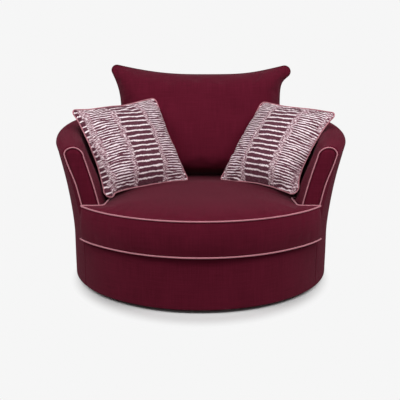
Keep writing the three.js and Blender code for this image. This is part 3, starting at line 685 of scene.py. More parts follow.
def path_object(name: str, points: Sequence[Vector], closed: bool) -> bpy.types.Object:
    """Returns an object that holds a path as plain edges."""
    count = len(points)
    edges = [(i, (i + 1) % count) for i in range(count if closed else count - 1)]
    mesh = bpy.data.meshes.new(name)
    mesh.from_pydata([tuple(p) for p in points], edges, [])
    thing = bpy.data.objects.new(name, mesh)
    bpy.context.scene.collection.objects.link(thing)
    return thing


def places_of(thing: bpy.types.Object) -> np.ndarray:
    """Returns a mesh object's points as rows."""
    found = np.empty(len(thing.data.vertices) * 3, "f")
    thing.data.vertices.foreach_get("co", found)
    return found.reshape(-1, 3).astype(float)


def move_to(thing: bpy.types.Object, places: np.ndarray) -> None:
    """Moves a mesh object's points to the rows given."""
    thing.data.vertices.foreach_set("co", places.astype("f").ravel())
    thing.data.update()


class Workshop:
    """Hands finished pieces over to the frame, and keeps the trees that sew them."""

    def __init__(self, shelf: FinishShelf) -> None:
        """Builds the trees once."""
        self.shelf = shelf
        self.cord_tree = self.cord_maker()
        self.staple_tree = self.staple_maker()

    def cord_maker(self) -> bpy.types.NodeTree:
        """Returns the tree that lays a round cord along a path, with its length and its way round as UV."""
        sheet = GeometrySheet("sewn_cord", {"Radius": 0.005, "Step": 0.004}, {"Sides": 12})
        curve = sheet.add("GeometryNodeMeshToCurve", Mesh=sheet.given["Geometry"])
        even = sheet.add(
            "GeometryNodeResampleCurve", {"mode": "LENGTH"}, Curve=curve.outputs[0], Length=sheet.given["Step"]
        )
        length = sheet.add("GeometryNodeSplineParameter").outputs["Length"]
        along = sheet.add("GeometryNodeCaptureAttribute", Geometry=even.outputs[0])
        along.capture_items.new("FLOAT", "Along")
        sheet.tree.links.new(length, along.inputs["Along"])
        circle = sheet.add(
            "GeometryNodeCurvePrimitiveCircle", Resolution=sheet.given["Sides"], Radius=sheet.given["Radius"]
        )
        factor = sheet.add("GeometryNodeSplineParameter").outputs["Factor"]
        round_it = sheet.add("GeometryNodeCaptureAttribute", Geometry=circle.outputs[0])
        round_it.capture_items.new("FLOAT", "Round")
        sheet.tree.links.new(factor, round_it.inputs["Round"])
        tube = sheet.add("GeometryNodeCurveToMesh", Curve=along.outputs[0], Fill_Caps=True)
        sheet.tree.links.new(round_it.outputs[0], tube.inputs["Profile Curve"])
        girth = sheet.add("ShaderNodeMath", {"operation": "MULTIPLY"})
        sheet.tree.links.new(sheet.given["Radius"], girth.inputs[0])
        girth.inputs[1].default_value = FULL_TURN
        way = sheet.add("ShaderNodeMath", {"operation": "MULTIPLY"})
        sheet.tree.links.new(girth.outputs[0], way.inputs[0])
        sheet.tree.links.new(round_it.outputs["Round"], way.inputs[1])
        flat = sheet.add("ShaderNodeCombineXYZ", X=along.outputs["Along"], Y=way.outputs[0])
        stored = sheet.add(
            "GeometryNodeStoreNamedAttribute",
            {"data_type": "FLOAT2", "domain": "CORNER"},
            Geometry=tube.outputs[0],
            Name=UV_NAME,
            Value=flat.outputs[0],
        )
        smooth = sheet.add("GeometryNodeSetShadeSmooth", Geometry=stored.outputs[0])
        return sheet.close(smooth.outputs[0])

    def staple_maker(self) -> bpy.types.NodeTree:
        """Returns the tree that sets flat staples along a path."""
        sheet = GeometrySheet("hem_staples", {"Pitch": 0.03, "Width": 0.010, "Wire": 0.0009})
        points = self.spaced(sheet, sheet.given["Pitch"])
        size = sheet.add(
            "ShaderNodeCombineXYZ", X=sheet.given["Width"], Y=sheet.given["Wire"], Z=sheet.given["Wire"]
        )
        wire = sheet.add("GeometryNodeMeshCube", Size=size.outputs[0])
        return sheet.close(self.set_along(sheet, points, wire.outputs["Mesh"]))

    def spaced(self, sheet: GeometrySheet, pitch: bpy.types.NodeSocket) -> bpy.types.NodeSocket:
        """Returns a path's points, spaced at a pitch."""
        curve = sheet.add("GeometryNodeMeshToCurve", Mesh=sheet.given["Geometry"])
        return sheet.add(
            "GeometryNodeResampleCurve", {"mode": "LENGTH"}, Curve=curve.outputs[0], Length=pitch
        ).outputs[0]

    def set_along(
        self, sheet: GeometrySheet, points: bpy.types.NodeSocket, item: bpy.types.NodeSocket
    ) -> bpy.types.NodeSocket:
        """Returns an item set on each point, in line with the path and level across it."""
        tangent = sheet.add("GeometryNodeInputTangent")
        turn = sheet.add(
            "FunctionNodeAlignRotationToVector", {"axis": "X", "pivot_axis": "AUTO"}, Vector=tangent.outputs[0]
        )
        return sheet.add(
            "GeometryNodeInstanceOnPoints", Points=points, Instance=item, Rotation=turn.outputs[0]
        ).outputs[0]

    def hand_over(
        self,
        thing: bpy.types.Object,
        body: str,
        finish: Finish,
        stands_for: Sequence[str] = (),
        fill: float | None = None,
    ) -> bpy.types.Object:
        """Dresses a piece and gives it its place in the frame.

        Args:
            thing: the piece.
            body: the body that it rides on.
            finish: what it is covered with.
            stands_for: the frame's nodes that it replaces.
            fill: not used.

        Returns:
            The piece.
        """
        if not thing.data.materials:
            thing.data.materials.append(self.shelf.material(finish))
        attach(thing, body)
        if stands_for:
            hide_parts(*stands_for)
        log.info("%s: %d faces, rides on %s", thing.name, len(thing.data.polygons), body)
        return thing

    def cord(
        self,
        name: str,
        path: Sequence[Vector],
        radius: float,
        body: str,
        stands_for: Sequence[str] = (),
        closed: bool = True,
        finish: Finish = Finish.ROSE,
    ) -> bpy.types.Object:
        """Sews a covered cord along a path.

        Args:
            name: the piece's name.
            path: the points that its middle follows.
            radius: of the covered cord.
            body: the body that it rides on.
            stands_for: the frame's nodes that it replaces.
            closed: whether the path is a loop.
            finish: the cloth round it.

        Returns:
            The piece.
        """
        values = {"Radius": radius, "Step": radius * 0.8, "Sides": 12, "Material": self.shelf.material(finish)}
        thing = grown_by(path_object(name, path, closed), self.cord_tree, values)
        return self.hand_over(thing, body, finish, stands_for)


# The wall


class Part(Enum):
    """The stretches of a section through the wall, from the foot of the outside to the foot of the inside."""

    HEM = "hem"
    OUTSIDE = "outside"
    ROLL = "roll"
    INSIDE = "inside"


@dataclass(frozen=True)
class Rung:
    """One point of a section: how far along its part, how deep below the finished face, and where it starts."""

    part: Part
    share: float
    depth: float
    low: float = 0.0
    below_roll: bool = False


@dataclass(frozen=True)
class WallForm:
    """The tub's wall and the drum under it: radius, heights, flare and the roll over the top."""

    drum_radius: float = 0.580
    floor_gap: float = 0.014
    deck_height: float = 0.226
    pad_foot: float = 0.2263
    seam_height: float = 0.372
    thickness: float = 0.077
    arm_fullness: float = 0.070
    roll_fullness: float = 0.038
    fullness_start: float = 0.0
    fullness_run: float = 0.105
    fullness_ends: Pair = (85.0, 118.0)
    arm_height: float = 0.613
    back_height: float = 0.715
    rise_power: float = 2.6
    flare_start: float = 0.200
    side_flare: float = 0.064
    back_flare: float = 0.034
    flare_power: float = 1.6
    arm_front: float = 0.315
    hem_width: float = 0.038
    hem_round: float = 0.006

    @property
    def arm_angle(self) -> float:
        """The angle at which the arms end."""
        return math.acos(self.arm_front / self.drum_radius)

    @property
    def roll_radius(self) -> float:
        """The radius of the roll over the wall's top."""
        return self.thickness / 2

    def around_the_back(self, angle: float) -> float:
        """Returns the angle on the nearer side."""
        return min(angle, FULL_TURN - angle)

    def rim_height(self, angle: float) -> float:
        """Returns the height of the wall's top at an angle."""
        share = clamped((self.around_the_back(angle) - self.arm_angle) / (math.pi - self.arm_angle))
        return blended(self.arm_height, self.back_height, 1 - (1 - share) ** self.rise_power)

    def roll_height(self, angle: float) -> float:
        """Returns the height of the roll's middle at an angle."""
        return self.rim_height(angle) - self.roll_radius

    def outer_radius(self, angle: float, height: float) -> float:
        """Returns how far the wall's outside is from the middle, up to the roll."""
        flare = blended(
            self.side_flare, self.back_flare, eased(self.around_the_back(angle), math.pi / 2, math.pi)
        )
        share = clamped((height - self.flare_start) / (self.roll_height(angle) - self.flare_start))
        return self.drum_radius + flare * share**self.flare_power

    def thickness_at(self, angle: float, height: float) -> float:
        """Returns the wall's thickness, which is fuller on the inside behind each arm front."""
        plain = self.outer_radius(angle, height) - self.thickness
        share = clamped((height - self.seam_height) / (self.roll_height(angle) - self.seam_height))
        behind = self.arm_front - plain * math.cos(angle)
        from_front = eased(behind, self.fullness_start, self.fullness_start + self.fullness_run)
        low, high = (math.radians(end) for end in self.fullness_ends)
        before_back = 1 - eased(self.around_the_back(angle), low, high)
        fullness = blended(self.arm_fullness, self.roll_fullness, share)
        return self.thickness + fullness * from_front * before_back

    def inner_radius(self, angle: float, height: float) -> float:
        """Returns how far the wall's inside is from the middle, over the roll as well."""
        roll = self.roll_height(angle)
        if height <= roll:
            return self.outer_radius(angle, height) - self.thickness_at(angle, height)
        over = min((height - roll) / self.roll_radius, 1.0)
        half = self.thickness_at(angle, roll) / 2
        return self.outer_radius(angle, roll) - half - half * math.sqrt(1 - over**2)

    def beside(self, angle: float, height: float, distance: float) -> float:
        """Returns the radius of a line that runs inside the tub at a distance from its inner face."""
        step = 0.02
        here = self.inner_radius(angle, height)
        change = self.inner_radius(angle + step, height) - self.inner_radius(angle - step, height)
        return here - distance * math.hypot(1, change / (2 * step * here))

    def section_point(self, rung: Rung, angle: float, pull: float = 0.0) -> Pair:
        """Finds one point of the wall's section.

        Args:
            rung: which point.
            angle: where round the chair.
            pull: how much deeper than the rung says.

        Returns:
            Its distance from the middle and its height.
        """
        roll = self.roll_height(angle)
        depth = rung.depth + pull
        low = roll - rung.low if rung.below_roll else rung.low
        if rung.part is Part.HEM:
            hem = self.drum_radius - self.hem_width
            turn_in = self.drum_radius - self.hem_round
            if rung.share <= 0.5:
                return blended(hem, turn_in, rung.share * 2), self.floor_gap + depth
            turn = (rung.share * 2 - 1) * math.pi / 2
            reach = max(self.hem_round - depth, 0.0005)
            return turn_in + reach * math.sin(turn), self.floor_gap + self.hem_round - reach * math.cos(turn)
        if rung.part is Part.ROLL:
            half = self.thickness_at(angle, roll) / 2
            turn = math.pi * rung.share
            across = self.outer_radius(angle, roll) - half + (half - depth) * math.cos(turn)
            return across, roll + (self.roll_radius - depth) * math.sin(turn)
        if rung.part is Part.OUTSIDE:
            height = blended(low, roll, rung.share)
            return self.outer_radius(angle, height) - depth, height
        height = blended(roll, low, rung.share)
        return self.outer_radius(angle, height) - self.thickness_at(angle, height) + depth, height

    def end_angle(self, rung: Rung, front: float, pull: float = 0.0) -> float:
        """Returns the angle at which a rung's line meets the upright plane of the arm fronts."""
        angle = self.arm_angle
        for _ in range(8):
            radius, _ = self.section_point(rung, angle, pull)
            angle = math.acos(clamped(front / radius, -1, 1))
        return angle

    def at(self, radius: float, angle: float, height: float) -> Vector:
        """Returns the place at a distance from the middle, an angle and a height."""
        return Vector((radius * math.sin(angle), -radius * math.cos(angle), height))


@dataclass(frozen=True)
class CoverMaker:
    """Stretches a cover of even thickness over the wall, from one arm front round the back to the other."""

    wall: WallForm
    front: float
    stations: int = 150
    front_round: float = 0.006
    front_pull: float = 0.0014
    near_front: tuple[float, ...] = (0, 0.0008, 0.0018, 0.0032, 0.005, 0.0075, 0.011, 0.016, 0.024, 0.036)

    def shares(self) -> list[float]:
        """Returns the stations as shares of the way round, closer together near the arm fronts."""
        way = (FULL_TURN - 2 * self.wall.arm_angle) * self.wall.drum_radius
        near = [d / way for d in self.near_front]
        count = self.stations
        middle = [blended(near[-1], 1 - near[-1], i / count) for i in range(1, count)]
        return [*near, *middle, *[1 - s for s in reversed(near)]]

    def pull_at(self, place: Vector, ripple: float, seams: Callable[[Vector], float] | None) -> float:
        """Returns how far the cloth lies under its even face, for edges, soft waves and seams."""
        behind = place.y + self.front
        pull = 0.0
        if behind < self.front_round:
            rest = 1 - max(behind, 0) / self.front_round
            pull += self.front_pull * (1 - math.sqrt(max(0.0, 1 - rest * rest)))
        wave = noise.noise(Vector((place.x * 5, place.y * 5, place.z * 6)))
        pull += ripple * (0.5 + wave) * clamped(behind / 0.05)
        if seams:
            pull += seams(place)
        return pull

    def cover(
        self,
        outline: Sequence[Rung],
        ripple: float = 0.0,
        seams: Callable[[Vector], float] | None = None,
    ) -> Skin:
        """Sweeps a closed section round the tub.

        Args:
            outline: the section's points, once round.
            ripple: how deep its soft waves are.
            seams: how deep the cloth is drawn in at a place, for seams.

        Returns:
            The cover.
        """
        shares = self.shares()
        ends = [self.wall.end_angle(rung, self.front) for rung in outline]
        skin = Skin()
        grid: list[list[Vector]] = []
        for share in shares:
            row = []
            for rung, end in zip(outline, ends):
                angle = blended(end, FULL_TURN - end, share)
                radius, height = self.wall.section_point(rung, angle)
                place = self.wall.at(radius, angle, height)
                pull = self.pull_at(place, ripple, seams)
                radius, height = self.wall.section_point(rung, angle, pull)
                row.append(self.wall.at(radius, angle, height))
            grid.append(row)
        count = len(outline)
        skin.points = [p for row in grid for p in row]
        middle = grid[len(grid) // 2]
        up = [0.0]
        for here, there in zip(middle, middle[1:]):
            up.append(up[-1] + (there - here).length)
        way = (FULL_TURN - 2 * self.wall.arm_angle) * (self.wall.drum_radius + self.wall.side_flare / 2)
        for i in range(len(grid) - 1):
            u0, u1 = shares[i] * way, shares[i + 1] * way
            for j in range(count):
                k = (j + 1) % count
                here, there = i * count, (i + 1) * count
                v0 = up[j]
                v1 = up[k] if k else up[j] + (middle[0] - middle[j]).length
                skin.face((here + j, there + j, there + k, here + k), ((u0, v0), (u1, v0), (u1, v1), (u0, v1)))
        for start in (0, (len(grid) - 1) * count):
            self.close_end(skin, start, count)
        return skin

    def close_end(self, skin: Skin, start: int, count: int) -> None:
        """Closes an end of a cover across its thickness, where its outline folds back on itself."""
        half = count // 2
        for j in range(half - 1):
            corners = (start + j, start + j + 1, start + count - 2 - j, start + count - 1 - j)
            places = [skin.points[c] for c in corners]
            skin.face(corners, tuple((p.x, p.z) for p in places))


def doubled(face: Sequence[Rung], thickness: float) -> list[Rung]:
    """Returns a face's rungs, and then the same ones on its underside in reverse."""
    return [*face, *[replace(rung, depth=rung.depth + thickness) for rung in reversed(face)]]


def stretch(part: Part, count: int, depth: float, low: float = 0.0, **more: object) -> list[Rung]:
    """Returns evenly spaced rungs along one part of the wall."""
    return [Rung(part, i / count, depth, low, **more) for i in range(count + 1)]


@dataclass
class Tub:
    """The tub's upholstery: its foam, the covers inside and outside, and the facings on the arm fronts."""

    workshop: Workshop
    wall: WallForm
    cover_thickness: float = 0.0025
    foam_back: float = 0.0316
    tuck_below_roll: float = 0.028
    facing_plane: float = 0.310
    facing_front: float = 0.3153
    facing_bulge: float = 0.0036
    facing_seat: float = 0.0016
    pipe_radius: float = 0.0026
    pipe_depth: float = 0.0050
    seam_depth: float = 0.0018
    seam_width: float = 0.0035
    foot_inset: float = 0.0100
    inset_heights: Pair = (0.440, 0.560)

    def tuck_seam(self, place: Vector) -> float:
        """Returns how far the cloth is drawn in along the tuck under the roll and down the back's middle."""
        angle = math.atan2(place.x, -place.y) % FULL_TURN
        away = place.z - (self.wall.roll_height(angle) - self.tuck_below_roll)
        pull = self.seam_depth * math.exp(-((away / self.seam_width) ** 2))
        if place.y > 0 and place.z < self.wall.roll_height(angle) - self.tuck_below_roll + self.seam_width:
            pull = max(pull, self.seam_depth * 0.8 * math.exp(-((place.x / self.seam_width) ** 2)))
        return pull

    def outside_cover(self) -> bpy.types.Object:
        """Makes the cloth round the drum and up the outside, hemmed under the drum."""
        steps = 44
        top = 1.0
        face = [
            *stretch(Part.HEM, 10, 0.0),
            *[self.below_tuck(i / steps * top) for i in range(1, steps + 1)],
        ]
        maker = CoverMaker(self.wall, self.facing_plane)
        skin = maker.cover(doubled(face, self.cover_thickness), 0.0012, self.tuck_seam)
        thing = skin.piece("outside_cloth")
        return self.workshop.hand_over(thing, "chair", Finish.BURGUNDY, ["outside_cover"])

    def below_tuck(self, share: float) -> Rung:
        """Returns the rung at a share of the way from the hem to the tuck under the roll."""
        return Rung(Part.OUTSIDE, share, 0.0, self.wall.floor_gap + self.wall.hem_round)

    def inside_cover(self) -> bpy.types.Object:
        """Makes the cloth down the inside, over the roll and to the tuck under it."""
        face = [
            *stretch(Part.OUTSIDE, 6, 0.0, self.tuck_below_roll, below_roll=True),
            *stretch(Part.ROLL, 18, 0.0)[1:-1],
            *stretch(Part.INSIDE, 34, 0.0, self.wall.pad_foot),
        ]
        maker = CoverMaker(self.wall, self.facing_plane)
        skin = maker.cover(doubled(face, self.cover_thickness), 0.0014, self.tuck_seam)
        thing = skin.piece("inside_cloth")
        return self.workshop.hand_over(thing, "chair", Finish.BURGUNDY, ["inside_cover"])

    def foam(self) -> bpy.types.Object:
        """Makes the foam over the rail and down the inside."""
        skin_depth = self.cover_thickness + 0.0003
        foot = self.wall.pad_foot
        face = [*stretch(Part.ROLL, 12, skin_depth), *stretch(Part.INSIDE, 16, skin_depth, foot)[1:]]
        under = [
            *stretch(Part.OUTSIDE, 16, self.foam_back, foot)[:-1],
            *[Rung(Part.OUTSIDE, 1.003, blended(self.foam_back, skin_depth, i / 12), foot) for i in range(13)],
        ]
        maker = CoverMaker(self.wall, self.facing_plane - 0.0126, stations=110)
        thing = maker.cover([*face, *under]).piece("wall_foam")
        return self.workshop.hand_over(thing, "chair", Finish.FOAM, ["tub_foam"], fill=1.0)

    def facing_rungs(self, depth: float, foot: float) -> list[Rung]:
        """Returns the outline of the arm's front at a depth, up the outside, over and down the inside."""
        return [
            *stretch(Part.OUTSIDE, 30, depth, foot),
            *stretch(Part.ROLL, 20, depth)[1:-1],
            *stretch(Part.INSIDE, 30, depth, foot),
        ]

    def facing_outline(self, depth: float, foot: float, side: int) -> list[Pair]:
        """Returns that outline as points across and up, in the plane of the arm fronts.

        The panel narrows towards its foot on the outside, where the seat cushion's tip comes before it.
        """
        found = []
        for rung in self.facing_rungs(depth, foot):
            seated = depth <= self.facing_seat
            angle = self.wall.end_angle(rung, self.facing_plane if seated else self.wall.arm_front)
            radius, height = self.wall.section_point(rung, angle)
            across = radius * math.sin(angle)
            if rung.part is Part.OUTSIDE and not seated:
                share = 1 - depth / self.wall.roll_radius
                across -= self.foot_inset * share * (1 - eased(height, *self.inset_heights))
            found.append((side * across, height))
        return found

    def arm_facing(self, side: int) -> bpy.types.Object:
        """Makes the padded panel on an arm's front."""
        foot = self.wall.deck_height + 0.0006
        flat = 0.3105
        crest = self.facing_front + self.facing_bulge
        rows = [
            (self.wall.roll_radius - 1e-4, self.facing_plane + 0.0001),
            (self.facing_seat, self.facing_plane + 0.0001),
            (self.facing_seat, flat),
            (0.0085, flat + 0.0004),
            (0.0108, flat + 0.0024),
            (0.0122, blended(flat, self.facing_front, 0.9)),
            (0.0150, blended(self.facing_front, crest, 0.35)),
            (0.0200, blended(self.facing_front, crest, 0.75)),
            (0.0270, blended(self.facing_front, crest, 0.95)),
            (0.0330, crest),
            (self.wall.roll_radius - 1e-4, crest),
        ]
        skin = Skin()
        count = 0
        for depth, out in rows:
            outline = self.facing_outline(depth, foot, side)
            count = len(outline)
            skin.points.extend(Vector((x, -out, z)) for x, z in outline)
        for i in range(len(rows) - 1):
            for j in range(count - 1):
                corners = (i * count + j, i * count + j + 1, (i + 1) * count + j + 1, (i + 1) * count + j)
                skin.face(corners, tuple((skin.points[c].x, skin.points[c].z) for c in corners))
        for i in (0, len(rows) - 1):
            for j in range(count // 2):
                a, b = i * count + j, i * count + count - 1 - j
                if b - a < 3:
                    continue
                corners = (a, a + 1, b - 1, b)
                skin.face(corners, tuple((skin.points[c].x, skin.points[c].z) for c in corners))
        name = "left" if side < 0 else "right"
        thing = skin.piece(f"arm_panel_{name}", merge=3e-4)
        return self.workshop.hand_over(thing, "chair", Finish.BURGUNDY, [f"arm_facing_{name}"], fill=0.9)

    def arm_piping(self, side: int) -> bpy.types.Object:
        """Makes the piping round an arm's front."""
        middle = self.facing_front + self.pipe_radius * 0.4
        foot = self.wall.deck_height + self.pipe_radius
        path = [Vector((x, -middle, z)) for x, z in self.facing_outline(self.pipe_depth, foot, side)]
        name = "left" if side < 0 else "right"
        return self.workshop.cord(
            f"arm_cord_{name}", path, self.pipe_radius, "chair", [f"arm_piping_{name}"], closed=False
        )

    def build(self) -> None:
        """Makes every piece of the tub."""
        self.outside_cover()
        self.inside_cover()
        self.foam()
        for side in (-1, 1):
            self.arm_facing(side)
            self.arm_piping(side)


@dataclass
class Platform:
    """The padded platform under the seat cushion, in the chair's own cloth with a stitched lip in front."""

    workshop: Workshop
    wall: WallForm
    top: float = 0.2260
    low: float = 0.2126
    lip_low: float = 0.2085
    lip_start: float = 0.492
    front_reach: float = 0.5768
    arm_reach: float = 0.5024
    back_reach: float = 0.5482
    arm_front: float = 0.3158
    arm_back: float = 0.2972
    edge_round: float = 0.005
    seam_in: float = 0.060
    seam_depth: float = 0.0016
    seam_width: float = 0.0035

    def reach(self, angle: float) -> float:
        """Returns how far the platform reaches at an angle: out to the drum, and inside the wall behind."""
        forward = math.cos(angle)
        if forward * self.front_reach >= self.arm_front:
            return self.front_reach
        if forward * self.back_reach >= self.arm_back:
            return max(self.arm_reach, min(self.front_reach, self.arm_front / max(forward, 1e-3)))
        return self.back_reach

    def angles(self) -> list[float]:
        """Returns the stations round the platform, closer together where it steps in behind the arms."""
        arm = math.acos(self.arm_front / self.front_reach)
        behind = math.acos(self.arm_back / self.back_reach)
        half = [arm * i / 40 for i in range(41)]
        half += [blended(arm + 1e-4, behind + 1e-4, i / 10) for i in range(11)]
        half += [blended(behind + 2e-4, math.pi, i / 70) for i in range(71)]
        return [*half, *[FULL_TURN - a for a in reversed(half[1:-1])]]

    def height(self, place: Vector, reach: float, inwards: float) -> float:
        """Returns the top's height: soft at the edge, with a seam set in from the front."""
        rise = math.sqrt(max(0.0, 1 - (1 - min(inwards / self.edge_round, 1.0)) ** 2))
        height = self.top - self.edge_round * (1 - rise)
        if place.y < -self.arm_back:
            height -= self.seam_depth * math.exp(-(((inwards - self.seam_in) / self.seam_width) ** 2))
        return height - 0.0006 * (0.5 + noise.noise(place * 9)) * clamped(inwards / 0.03)

    def build(self) -> None:
        """Makes the platform."""
        angles = self.angles()
        ring = [0, 0.0006, 0.0015, 0.003, 0.005, 0.012, 0.03, 0.05, 0.055, 0.058, 0.060, 0.062, 0.065, 0.072]
        ring += [0.1, 0.15, 0.2, 0.26, 0.32, 0.38, 0.42]
        skin = Skin()
        count = len(angles)
        for inwards in ring:
            for angle in angles:
                reach = self.reach(angle)
                place = self.wall.at(reach - inwards, angle, 0.0)
                skin.points.append(Vector((place.x, place.y, self.height(place, reach, inwards))))
        for radius, height in ((0.42, self.low), (self.lip_start, self.low), (self.lip_start, self.lip_low)):
            skin.points.extend(self.wall.at(radius, angle, height) for angle in angles)
        for angle in angles:
            skin.points.append(self.wall.at(self.reach(angle), angle, self.lip_low))
        rows = len(skin.points) // count
        for j in range(rows):
            k = (j + 1) % rows if j + 1 < rows else 0
            if j in (len(ring) - 1,):
                continue
            for i in range(count):
                n = (i + 1) % count
                corners = (j * count + i, j * count + n, k * count + n, k * count + i)
                skin.face(corners, tuple((skin.points[c].x, skin.points[c].y) for c in corners))
        for j, height in ((len(ring) - 1, self.top), (len(ring), self.low)):
            middle = len(skin.points)
            skin.points.append(Vector((0, 0, height)))
            for i in range(count):
                corners = (j * count + i, j * count + (i + 1) % count, middle)
                skin.face(corners, tuple((skin.points[c].x, skin.points[c].y) for c in corners))
        thing = skin.piece("platform_cloth")
        self.workshop.hand_over(thing, "chair", Finish.BURGUNDY, ["deck_pad"], fill=0.9)


@dataclass
class Drum:
    """The cloth on the drum's front and the staples in its hem."""

    workshop: Workshop
    wall: WallForm
    cover_thickness: float = 0.0025
    front: float = 0.3103
    edge_round: float = 0.009
    top_return: float = 0.022
    seam_depth: float = 0.0014
    seam_width: float = 0.0035
    stations: int = 110

    def front_section(self) -> list[Pair]:
        """Returns the front cover's section: hem, face and the return over the platform's edge."""
        radius = self.wall.drum_radius
        low = self.wall.floor_gap
        high = self.wall.deck_height
        bottom_round = self.wall.hem_round
        path: list[Pair] = [(blended(radius - self.wall.hem_width, radius - bottom_round, i / 5), low) for i in range(6)]
        for i in range(1, 6):
            turn = math.pi / 2 * i / 5
            path.append(
                (
                    radius - bottom_round + bottom_round * math.sin(turn),
                    low + bottom_round * (1 - math.cos(turn)),
                )
            )
        start, end = low + bottom_round, high - self.edge_round
        path.extend((radius, blended(start, end, i / 16)) for i in range(1, 17))
        for i in range(1, 7):
            turn = math.pi / 2 * i / 6
            path.append(
                (
                    radius - self.edge_round * (1 - math.cos(turn)),
                    end + self.edge_round * math.sin(turn),
                )
            )
        path.append((radius - self.edge_round - self.top_return, high))
        return path

    def front_cover(self) -> bpy.types.Object:
        """Makes the cloth on the drum's front, between the two arms."""
        outer = self.front_section()
        rows = [(p, 0.0) for p in outer] + [(p, self.cover_thickness) for p in reversed(outer)]
        limit = math.acos(self.front / self.wall.drum_radius)
        near = [0, 0.0015, 0.003, 0.005, 0.008, 0.013]
        shares = [*near, *[blended(near[-1], 1 - near[-1], i / self.stations) for i in range(1, self.stations)]]
        shares += [1 - s for s in reversed(near)]
        skin = Skin()
        middle = self.section_middle(outer)
        for share in shares:
            angle = blended(-limit, limit, share)
            from_seam = min(share, 1 - share) * 2 * limit * self.wall.drum_radius
            pull = self.seam_depth * math.exp(-((from_seam / self.seam_width) ** 2))
            for (radius, height), depth in rows:
                wave = 0.0008 * (0.5 + noise.noise(Vector((radius * angle * 5, 3, height * 6))))
                inwards = Vector((radius - middle[0], height - middle[1])).normalized() * (depth + pull + wave)
                r, z = radius - inwards.x, height - inwards.y
                if height <= self.wall.floor_gap:
                    r, z = radius, height + depth
                if height >= self.wall.deck_height:
                    z = min(z, self.wall.deck_height - depth)
                end = math.acos(clamped(self.front / r, -1, 1)) if r > self.front else limit
                turn = blended(-end, end, share)
                skin.points.append(self.wall.at(r, turn, z))
        count = len(rows)
        for i in range(len(shares) - 1):
            for j in range(count):
                k = (j + 1) % count
                corners = (i * count + j, (i + 1) * count + j, (i + 1) * count + k, i * count + k)
                places = [skin.points[c] for c in corners]
                flats = tuple(
                    (math.atan2(p.x, -p.y) * self.wall.drum_radius, p.z + self.wall.drum_radius - math.hypot(p.x, p.y))
                    for p in places
                )
                skin.face(corners, flats)
        for start in (0, (len(shares) - 1) * count):
            for j in range(count // 2 - 1):
                corners = (start + j, start + j + 1, start + count - 2 - j, start + count - 1 - j)
                skin.face(corners, tuple((skin.points[c].x, skin.points[c].z) for c in corners))
        thing = skin.piece("front_cloth")
        return self.workshop.hand_over(thing, "chair", Finish.BURGUNDY, ["front_cover"])

    def section_middle(self, outer: Sequence[Pair]) -> Pair:
        """Returns a point well inside a section, which its depth is measured towards."""
        return self.wall.drum_radius - 0.3, (outer[0][1] + outer[-1][1]) / 2

    def staples(self) -> bpy.types.Object:
        """Sets the staples that hold the hem under the drum."""
        radius = self.wall.drum_radius - self.wall.hem_width * 0.7
        count = 120
        path = [self.wall.at(radius, FULL_TURN * i / count, self.wall.floor_gap - 0.0002) for i in range(count)]
        values = {
            "Pitch": 0.034,
            "Width": 0.010,
            "Wire": 0.0008,
            "Material": self.workshop.shelf.material(Finish.ZINC),
        }
        thing = grown_by(path_object("hem_staples", path, True), self.workshop.staple_tree, values)
        return self.workshop.hand_over(thing, "chair", Finish.ZINC)

    def build(self) -> None:
        """Makes every piece of the drum that the frame leaves plain."""
        self.front_cover()
        self.staples()


# The cushions


@dataclass(frozen=True)
class SeatPlan:
    """The seat cushion's outline seen from above: round in front, an ear before each arm, round in the tub."""

    wall: WallForm
    reach: float = 0.5897
    ear_line: float = -0.3324
    pipe_space: float = 0.0092
    straight_until: float = -0.17
    straight_slope: float = 0.03
    tip_round: float = 0.013
    corner_round: float = 0.032
    ear_reach: float = 0.001

    def inside_radius(self, angle: float, height: float, grown: float) -> float:
        """Returns the outline's distance from the middle inside the tub."""
        return self.wall.beside(angle, height, self.pipe_space - grown)

    def front_radius(self, angle: float, grown: float) -> float:
        """Returns the outline's distance from the middle in front, where the ears reach out a little."""
        return self.reach + grown + self.ear_reach * eased(angle, math.radians(34), math.radians(54))

    def half(self, height: float, grown: float) -> list[Vector]:
        """Returns the outline's +X half, from the front's middle to the back's middle."""
        ear_y = self.ear_line + grown
        reach = self.reach + grown + self.ear_reach
        tip_angle = math.acos(-ear_y / reach)
        corner_angle = self.wall.arm_angle
        for _ in range(12):
            corner_angle = math.acos(clamped(-ear_y / self.inside_radius(corner_angle, height, grown), -1, 1))
        tip = self.polar(reach, tip_angle)
        corner = self.polar(self.inside_radius(corner_angle, height, grown), corner_angle)
        front_end = tip_angle - self.tip_round / reach
        front = [self.polar(self.front_radius(front_end * i / 50, grown), front_end * i / 50) for i in range(51)]
        tip_end = tip + Vector((-self.tip_round, 0))
        ear_end = corner + Vector((self.corner_round, 0))
        ear = [tip_end.lerp(ear_end, i / 5) for i in range(6)]
        inside_start = corner_angle + self.corner_round / reach
        inside = []
        for i in range(92):
            angle = blended(inside_start, math.pi, i / 91)
            place = self.polar(self.inside_radius(angle, height, grown), angle)
            if place.y < self.straight_until:
                place.x = min(place.x, corner.x - self.straight_slope * (place.y - corner.y))
            inside.append(place)
        tip_curve = self.bend(front[-1], tip, ear[0], 6)
        corner_curve = self.bend(ear[-1], corner, inside[0], 8)
        return [*front, *tip_curve, *ear, *corner_curve, *inside]

    def polar(self, radius: float, angle: float) -> Vector:
        """Returns the place at a distance and an angle, seen from above."""
        return Vector((radius * math.sin(angle), -radius * math.cos(angle)))

    def bend(self, start: Vector, corner: Vector, end: Vector, count: int) -> list[Vector]:
        """Returns the points of a rounded corner between two places, without the places themselves."""
        points = []
        for i in range(1, count):
            share = i / count
            points.append(start.lerp(corner, share).lerp(corner.lerp(end, share), share))
        return points

    def loop(self, height: float, grown: float) -> list[Vector]:
        """Returns the whole outline, once round."""
        right = self.half(height, grown)
        left = [Vector((-p.x, p.y)) for p in reversed(right[1:-1])]
        return [*right, *left]


